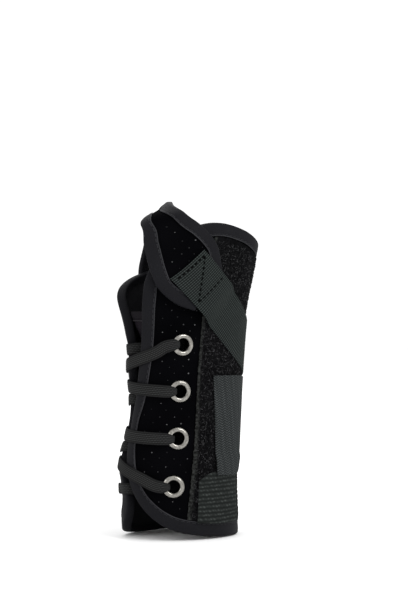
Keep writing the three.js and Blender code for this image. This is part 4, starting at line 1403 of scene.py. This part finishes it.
def put_patch(name, flat_of, lift_of, thick, weave, depth, columns, rows, finish, node):
    """Woven patch laid on the loop panel: its flat places at its lift, with a rounded rim and the weave
    raised on its outer face."""
    u, v = even_grid(1, 1)
    corners = flat_of(u, v)
    width = float(np.linalg.norm(corners[1, 0] - corners[0, 0]))
    height = float(np.linalg.norm(corners[0, 1] - corners[0, 0]))
    u, v = edged_grid(columns, rows, width, height)
    flat = flat_of(u, v)
    s, z = flat[..., 0], flat[..., 1]
    # Painted shade and highlight: the weave height is also the relief mark, so the ridges are coloured
    # lighter and the grooves darker
    relief = weave(s, z)
    half = thick / 2 * rim_round(u, v, width, height)
    lift = lift_of(s, z)
    outer = wrap(s, z, lift + thick / 2 + half + depth * (relief - 0.5))
    inner = wrap(s, z, lift + thick / 2 - half)
    piece = put_sheet(name, outer, inner, finish, flat, relief)
    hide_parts(node)


def tab_lift(s, z):
    """The tab lies on the loop panel, and lower down it eases up onto the elastic patch."""
    return ON_LOOP + (ELASTIC_THICK + GAP) * ease(-z, *TAB_STEP)


def tab_weave(s, z):
    """Herringbone with upright columns."""
    return herringbone(z, s, TWILL_YARN, TWILL_COLUMN, slant=0.95)


def elastic_ribs(s, z):
    """Ribs round the brace, each waving unevenly and broken into short slanting stitches, with a flat dark
    border down the right side."""
    wave = 0.5 * soft_noise(s, 0.7 * z, seed=51, sizes=(3.9, 5.6, 8.7, 14))
    rib = ripple((z + wave) / ELASTIC_RIB)
    slant = 0.6 * z + 0.5 * soft_noise(s, z, seed=52, sizes=(6, 9))
    stitch = ripple((s + slant) / ELASTIC_STITCH)
    worn = 0.8 + 0.35 * soft_noise(s, z, seed=53, sizes=(3.3, 4.9, 7.7))
    border = ease(s, *ELASTIC_BORDER)
    return np.clip(worn * rib * (0.55 + 0.45 * stitch) + 0.1, 0, 1) * (1 - border) + 0.12 * border


put_patch(
    "pull_tab_twill", tab_flat, tab_lift, STRAP_THICK, tab_weave, depth=0.18, columns=112, rows=190,
    finish=twill, node="pull_tab",
)
put_patch(
    "elastic_sheet", elastic_flat, lambda s, z: ON_LOOP + 0 * s, ELASTIC_THICK, elastic_ribs, depth=0.3,
    columns=110, rows=90, finish=elastic_weave, node="elastic_patch",
)


def tongue_lift(s, z):
    """The tongue lies under the laces, comes up nearer the panels above them, and meets the palmar panel
    along its sewn side."""
    base = lerp(TONGUE_BASE, TONGUE_HIGH, ease(z, *TONGUE_STEP))
    sewn = ease(-s, -TONGUE_FREE, -TONGUE_SEWN)
    return lerp(base, -SEWN_GAP - TONGUE_THICK, sewn)


def put_tongue():
    """Tongue: a rectangle at the tongue's lift, with upright folds that fade towards its sewn side."""
    u, v = even_grid(80, 80)
    s = lerp(TONGUE_FAR, TONGUE_NEAR, u)
    z = lerp(TONGUE_BOTTOM, TONGUE_TOP, v)
    free = ease(s, *TONGUE_FOLDS)
    bend = 1.6 * soft_noise(s, z, seed=62, sizes=(60, 85))
    fold = 0.34 * free * soft_noise(s + bend, 0 * z, seed=61, sizes=(6.1, 9.7, 14.3))
    lift = tongue_lift(s, z)
    outer = wrap(s, z, lift + TONGUE_THICK + fold)
    inner = wrap(s, z, lift + fold)
    # Painted shade and highlight: the fold ridges are coloured lighter and the hollows between them darker
    relief = np.clip(0.5 + 1.3 * fold, 0, 1)
    flat = np.stack([s, z], axis=-1)
    piece = put_sheet("tongue_sheet", outer, inner, tongue_cloth, flat, relief)
    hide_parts("tongue")


put_tongue()
HEM_Z = TONGUE_TOP + HEM_TAPE + GAP
hem_edge = FlatLine([[TONGUE_HEM_END, HEM_Z], [TONGUE_NEAR, HEM_Z]])
put_tape(
    "tongue_hem_tape", hem_edge, base=TONGUE_HIGH, top=TONGUE_HIGH + TONGUE_THICK, tape=HEM_TAPE,
    width=HEM_WIDTH, slack=SEWN_GAP, node="tongue_hem", finish=hem_weave, seed=25,
)


# Eyelets and laces


def put_eyelet(name, s, z, node):
    """Eyelet: its closed section, smoothed, turned round the disc frame of its hole."""
    section = np.array(EYELET + EYELET[:1])
    where = np.linspace(0, len(EYELET), 2 * len(EYELET) + 1)[:-1]
    radius, lift = spline_at(section, where).T
    middle, round_way, up, out = disc_frame(s, z)
    angle = 2 * np.pi * np.arange(EYELET_SIDES)[:, None] / EYELET_SIDES
    way = np.cos(angle)[..., None] * round_way + np.sin(angle)[..., None] * up
    points = middle + radius[:, None] * way + lift[:, None] * out
    ids = np.arange(points.shape[0] * points.shape[1]).reshape(points.shape[:2])
    turn = np.roll(ids, -1, axis=0)
    cells = np.stack([ids, turn, np.roll(turn, -1, axis=1), np.roll(ids, -1, axis=1)], axis=-1)
    quads = cells.reshape(-1, 4)
    # Crown mark: 0 in the throat, where the finish paints a dark colour for the shade of the hole, and 1 on
    # the plate
    crown = np.broadcast_to(ease(radius, *EYELET_THROAT_SHADE_RADII), points.shape[:2])
    piece = put_piece(name, points, quads, nickel, marks={"relief": crown})
    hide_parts(node)


for number, (near_s, near_z, far_s, far_z, _, _) in enumerate(LACING, 1):
    put_eyelet(f"ring_near_{number}", near_s, near_z, f"eyelet_near_{number}")
    put_eyelet(f"ring_far_{number}", far_s, far_z, f"eyelet_far_{number}")


def lace_run(row):
    """Lace rows for one lacing row, from the pull strap to the hole of the far eyelet.
    columns: s, z, lift, twist in degrees, width"""
    near_s, near_z, far_s, far_z, bar_z, end_z = row
    over = WALL + GAP + LACE_THICK / 2 + LACE_CLEAR
    on_tape = TAPE_TOP + GAP + LACE_THICK / 2 + LACE_CLEAR
    on_rim = EYELET_TOP + GAP + LACE_THICK / 2 + LACE_CLEAR
    narrow = LACE_IN_HOLE
    wide = LACE_WIDTH
    slim = LACE_WIDTH - 0.8
    cross_z = lerp(near_z, far_z, 0.7)
    near_edge = dorsal_edge.at(dorsal_edge.share_at(1, cross_z, *DORSAL_CORNERS))[0]
    far_edge = palmar_edge.at(palmar_edge.share_at(1, cross_z, *PALMAR_CORNERS))[0]
    return [
        [LACE_START, end_z, over, 0, wide],
        [LACE_START + 7, end_z, over, 0, wide],
        [LACE_START + 11.5, lerp(end_z, bar_z, 0.15), over + 0.2, 0, wide],
        [-80, lerp(end_z, bar_z, 0.6), on_tape, 0, wide],
        [-72, lerp(end_z, bar_z, 0.97), on_tape, 0, wide],
        [-58, bar_z, on_tape, 0, wide],
        [near_edge - 2, lerp(bar_z, near_z, 0.3), on_tape, 0, wide],
        [near_edge + 8, lerp(bar_z, near_z, 0.65), on_tape, 0, wide],
        [near_s - 9.5, lerp(bar_z, near_z, 0.92), on_rim, 0, wide],
        [near_s - 5.6, near_z, on_rim, 0, wide - 0.4],
        [near_s - 4.0, near_z, on_rim - 0.05, 0, narrow + 1.4],
        [near_s - 2.4, near_z, WALL + 0.9, 0, narrow],
        [near_s - 2.1, near_z, 1.2, 0, narrow],
        [near_s - 2.4, near_z, -1.4, 0, narrow],
        [near_s - 4.2, near_z, LACE_INSIDE, 0, narrow + 0.6],
        [near_s - 9, lerp(near_z, cross_z, 0.4), LACE_INSIDE, 0, wide],
        [near_edge + 3, cross_z, LACE_INSIDE, 0, wide],
        [lerp(near_edge, far_edge, 0.24), cross_z, LACE_INSIDE + 0.9, 0, wide],
        [lerp(near_edge, far_edge, 0.5), cross_z, 1.4, 0, wide],
        [lerp(near_edge, far_edge, 0.76), lerp(cross_z, far_z, 0.3), on_tape - 0.6, 0, slim],
        [far_edge - 3, lerp(cross_z, far_z, 0.6), on_tape, 0, slim],
        [far_s + 8, far_z, on_rim, 0, slim],
        [far_s + 4.4, far_z, on_rim, 0, narrow + 0.4],
        [far_s + 1.4, far_z, WALL + 1.0, 0, narrow],
        [far_s + 0.6, far_z, 1.2, 30, narrow],
    ]


def lace_rows(upper, lower):
    """One lace through two lacing rows, joined by a run inside the palmar panel."""
    upper_place = np.array(upper[2:4])
    lower_place = np.array(lower[2:4])
    (upper_s, upper_z), (lower_s, lower_z) = upper_place, lower_place
    narrow = LACE_IN_HOLE
    joint = [
        [upper_s + 0.4, upper_z - 0.3, -1.9, 80, narrow],
        [upper_s, upper_z - 3.6, LACE_INSIDE - 0.2, 90, narrow + 0.6],
        [*lerp(upper_place, lower_place, 0.35), LACE_INSIDE, 90, LACE_WIDTH],
        [*lerp(upper_place, lower_place, 0.65), LACE_INSIDE, 90, LACE_WIDTH],
        [lower_s, lower_z + 3.6, LACE_INSIDE - 0.2, 90, narrow + 0.6],
        [lower_s + 0.4, lower_z + 0.3, -1.9, 100, narrow],
    ]
    back = [[s, z, lift, 180 - twist, width] for s, z, lift, twist, width in lace_run(lower)[::-1]]
    return np.array([*lace_run(upper), *joint, *back])


def put_lace(name, rows, node, step=0.55):
    """Flat braid: a flattened oval carried along a smooth curve through the rows. Its width lies along the
    upright direction of the form, turned by the twist; ribs of short braid stitches raise both faces."""
    lengths = np.linalg.norm(np.diff(rows[:, :3], axis=0), axis=1)
    counts = np.maximum(2, (lengths / step).astype(int))
    where = np.concatenate([
        *(k + np.arange(count) / count for k, count in enumerate(counts)),
        [len(rows) - 1],
    ])
    s, z, lift = spline_at(rows[:, :3], where).T
    twist, width = (np.interp(where, np.arange(len(rows)), rows[:, k]) for k in (3, 4))
    middle = wrap(s, z, lift)
    run = run_along(middle)
    along = unit(np.gradient(middle, run, axis=0))
    round_way = unit(wrap(s + 0.5, z, lift) - wrap(s - 0.5, z, lift))
    up = unit(wrap(s, z + 0.5, lift) - wrap(s, z - 0.5, lift))
    turn = np.radians(twist)[:, None]
    across = up * np.cos(turn) + round_way * np.sin(turn)
    across = unit(across - along * (across * along).sum(axis=1, keepdims=True))
    face = np.cross(along, across)
    even = np.linspace(-1, 1, 29)
    p = lerp(even, np.sin(even * np.pi / 2), 0.35)
    half = LACE_THICK / 2 * np.maximum((1 - np.abs(p) ** 5) ** 0.5, 0.18)
    # Painted shade and highlight: the rib height is also the relief mark, lighter on the ribs and darker
    # between them, and it fades to dark towards the rounded edges of the braid
    relief = braid_weave(run[:, None], p * LACE_WIDTH / 2)
    shown = relief * (1 - np.abs(p) ** 6)

    def skin(sign):
        """One face of the braid: half the thickness out from the middle curve, and the ribs on top."""
        rise = sign * (half + 0.14 * (shown - 0.5) * (half > 0.3))
        side = p * width[:, None] / 2
        return middle[:, None] + side[..., None] * across[:, None] + rise[..., None] * face[:, None]

    flat = np.stack(np.broadcast_arrays(run[:, None], p * LACE_WIDTH / 2), axis=-1)
    piece = put_sheet(name, skin(1), skin(-1), lace_braid, flat, shown)
    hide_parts(node)


put_lace("upper_lace_braid", lace_rows(LACING[0], LACING[1]), "lace_upper")
put_lace("lower_lace_braid", lace_rows(LACING[2], LACING[3]), "lace_lower")


# Floor and light

FLOOR_HALF = 4000
FLOOR_GAP = 0.2

# Lamps; columns: name, place in metres, size in metres, power in watts
LAMPS = [
    ("key_light", (0.25, -1.4, 1.0), 0.8, 12),
    ("side_light", (-1.5, 0.1, 0.7), 0.9, 5),
    ("back_light", (0.9, 1.2, 1.2), 1.2, 8),
]
LAMP_AIM = (0, 0, 0.01)
WORLD_STRENGTH = 1.1


def put_floor():
    """Pale floor: a wide flat square at the foot of the brace with faint broad unevenness in its colour."""
    finish, shader = blank_finish("pale_floor", 0.9, 0.05)
    place = add_node(finish, "ShaderNodeTexCoord").outputs["Object"]
    tone = add_node(finish, "ShaderNodeTexNoise", {"Vector": place, "Scale": 3.0}).outputs["Fac"]
    colour = ramp(finish, tone, [(0.3, (0.93, 0.93, 0.93)), (0.7, (0.95, 0.95, 0.95))])
    finish.node_tree.links.new(colour, shader.inputs["Base Color"])
    u, v = even_grid(16, 16)
    x, y = (lerp(-FLOOR_HALF, FLOOR_HALF, share) for share in (u, v))
    points = np.stack([x, y, 0 * u + cad_box[0][2] / MM - FLOOR_GAP], axis=-1)
    mesh = bpy.data.meshes.new("floor")
    quads = grid_cells(*u.shape).reshape(-1, 4)
    mesh.from_pydata((points.reshape(-1, 3) * MM).tolist(), [], quads.tolist())
    mesh.materials.append(finish)
    floor = bpy.data.objects.new("floor", mesh)
    bpy.context.collection.objects.link(floor)


def put_light(name, place, size, power):
    """Soft square lamp at a place in metres, turned to LAMP_AIM, the middle of the brace."""
    lamp = bpy.data.lights.new(name, "AREA")
    lamp.size = size
    lamp.energy = power
    light = bpy.data.objects.new(name, lamp)
    light.location = place
    aim = np.array(place) - LAMP_AIM
    light.rotation_euler = (
        np.arctan2(np.hypot(aim[0], aim[1]), aim[2]),
        0,
        np.arctan2(aim[0], -aim[1]),
    )
    bpy.context.collection.objects.link(light)


put_floor()
for lamp_row in LAMPS:
    put_light(*lamp_row)
world = bpy.data.worlds.new("studio")
world.use_nodes = True
world.node_tree.nodes["Background"].inputs["Color"].default_value = (1, 1, 1, 1)
world.node_tree.nodes["Background"].inputs["Strength"].default_value = WORLD_STRENGTH
bpy.context.scene.world = world
bpy.context.scene.view_settings.view_transform = "Standard"
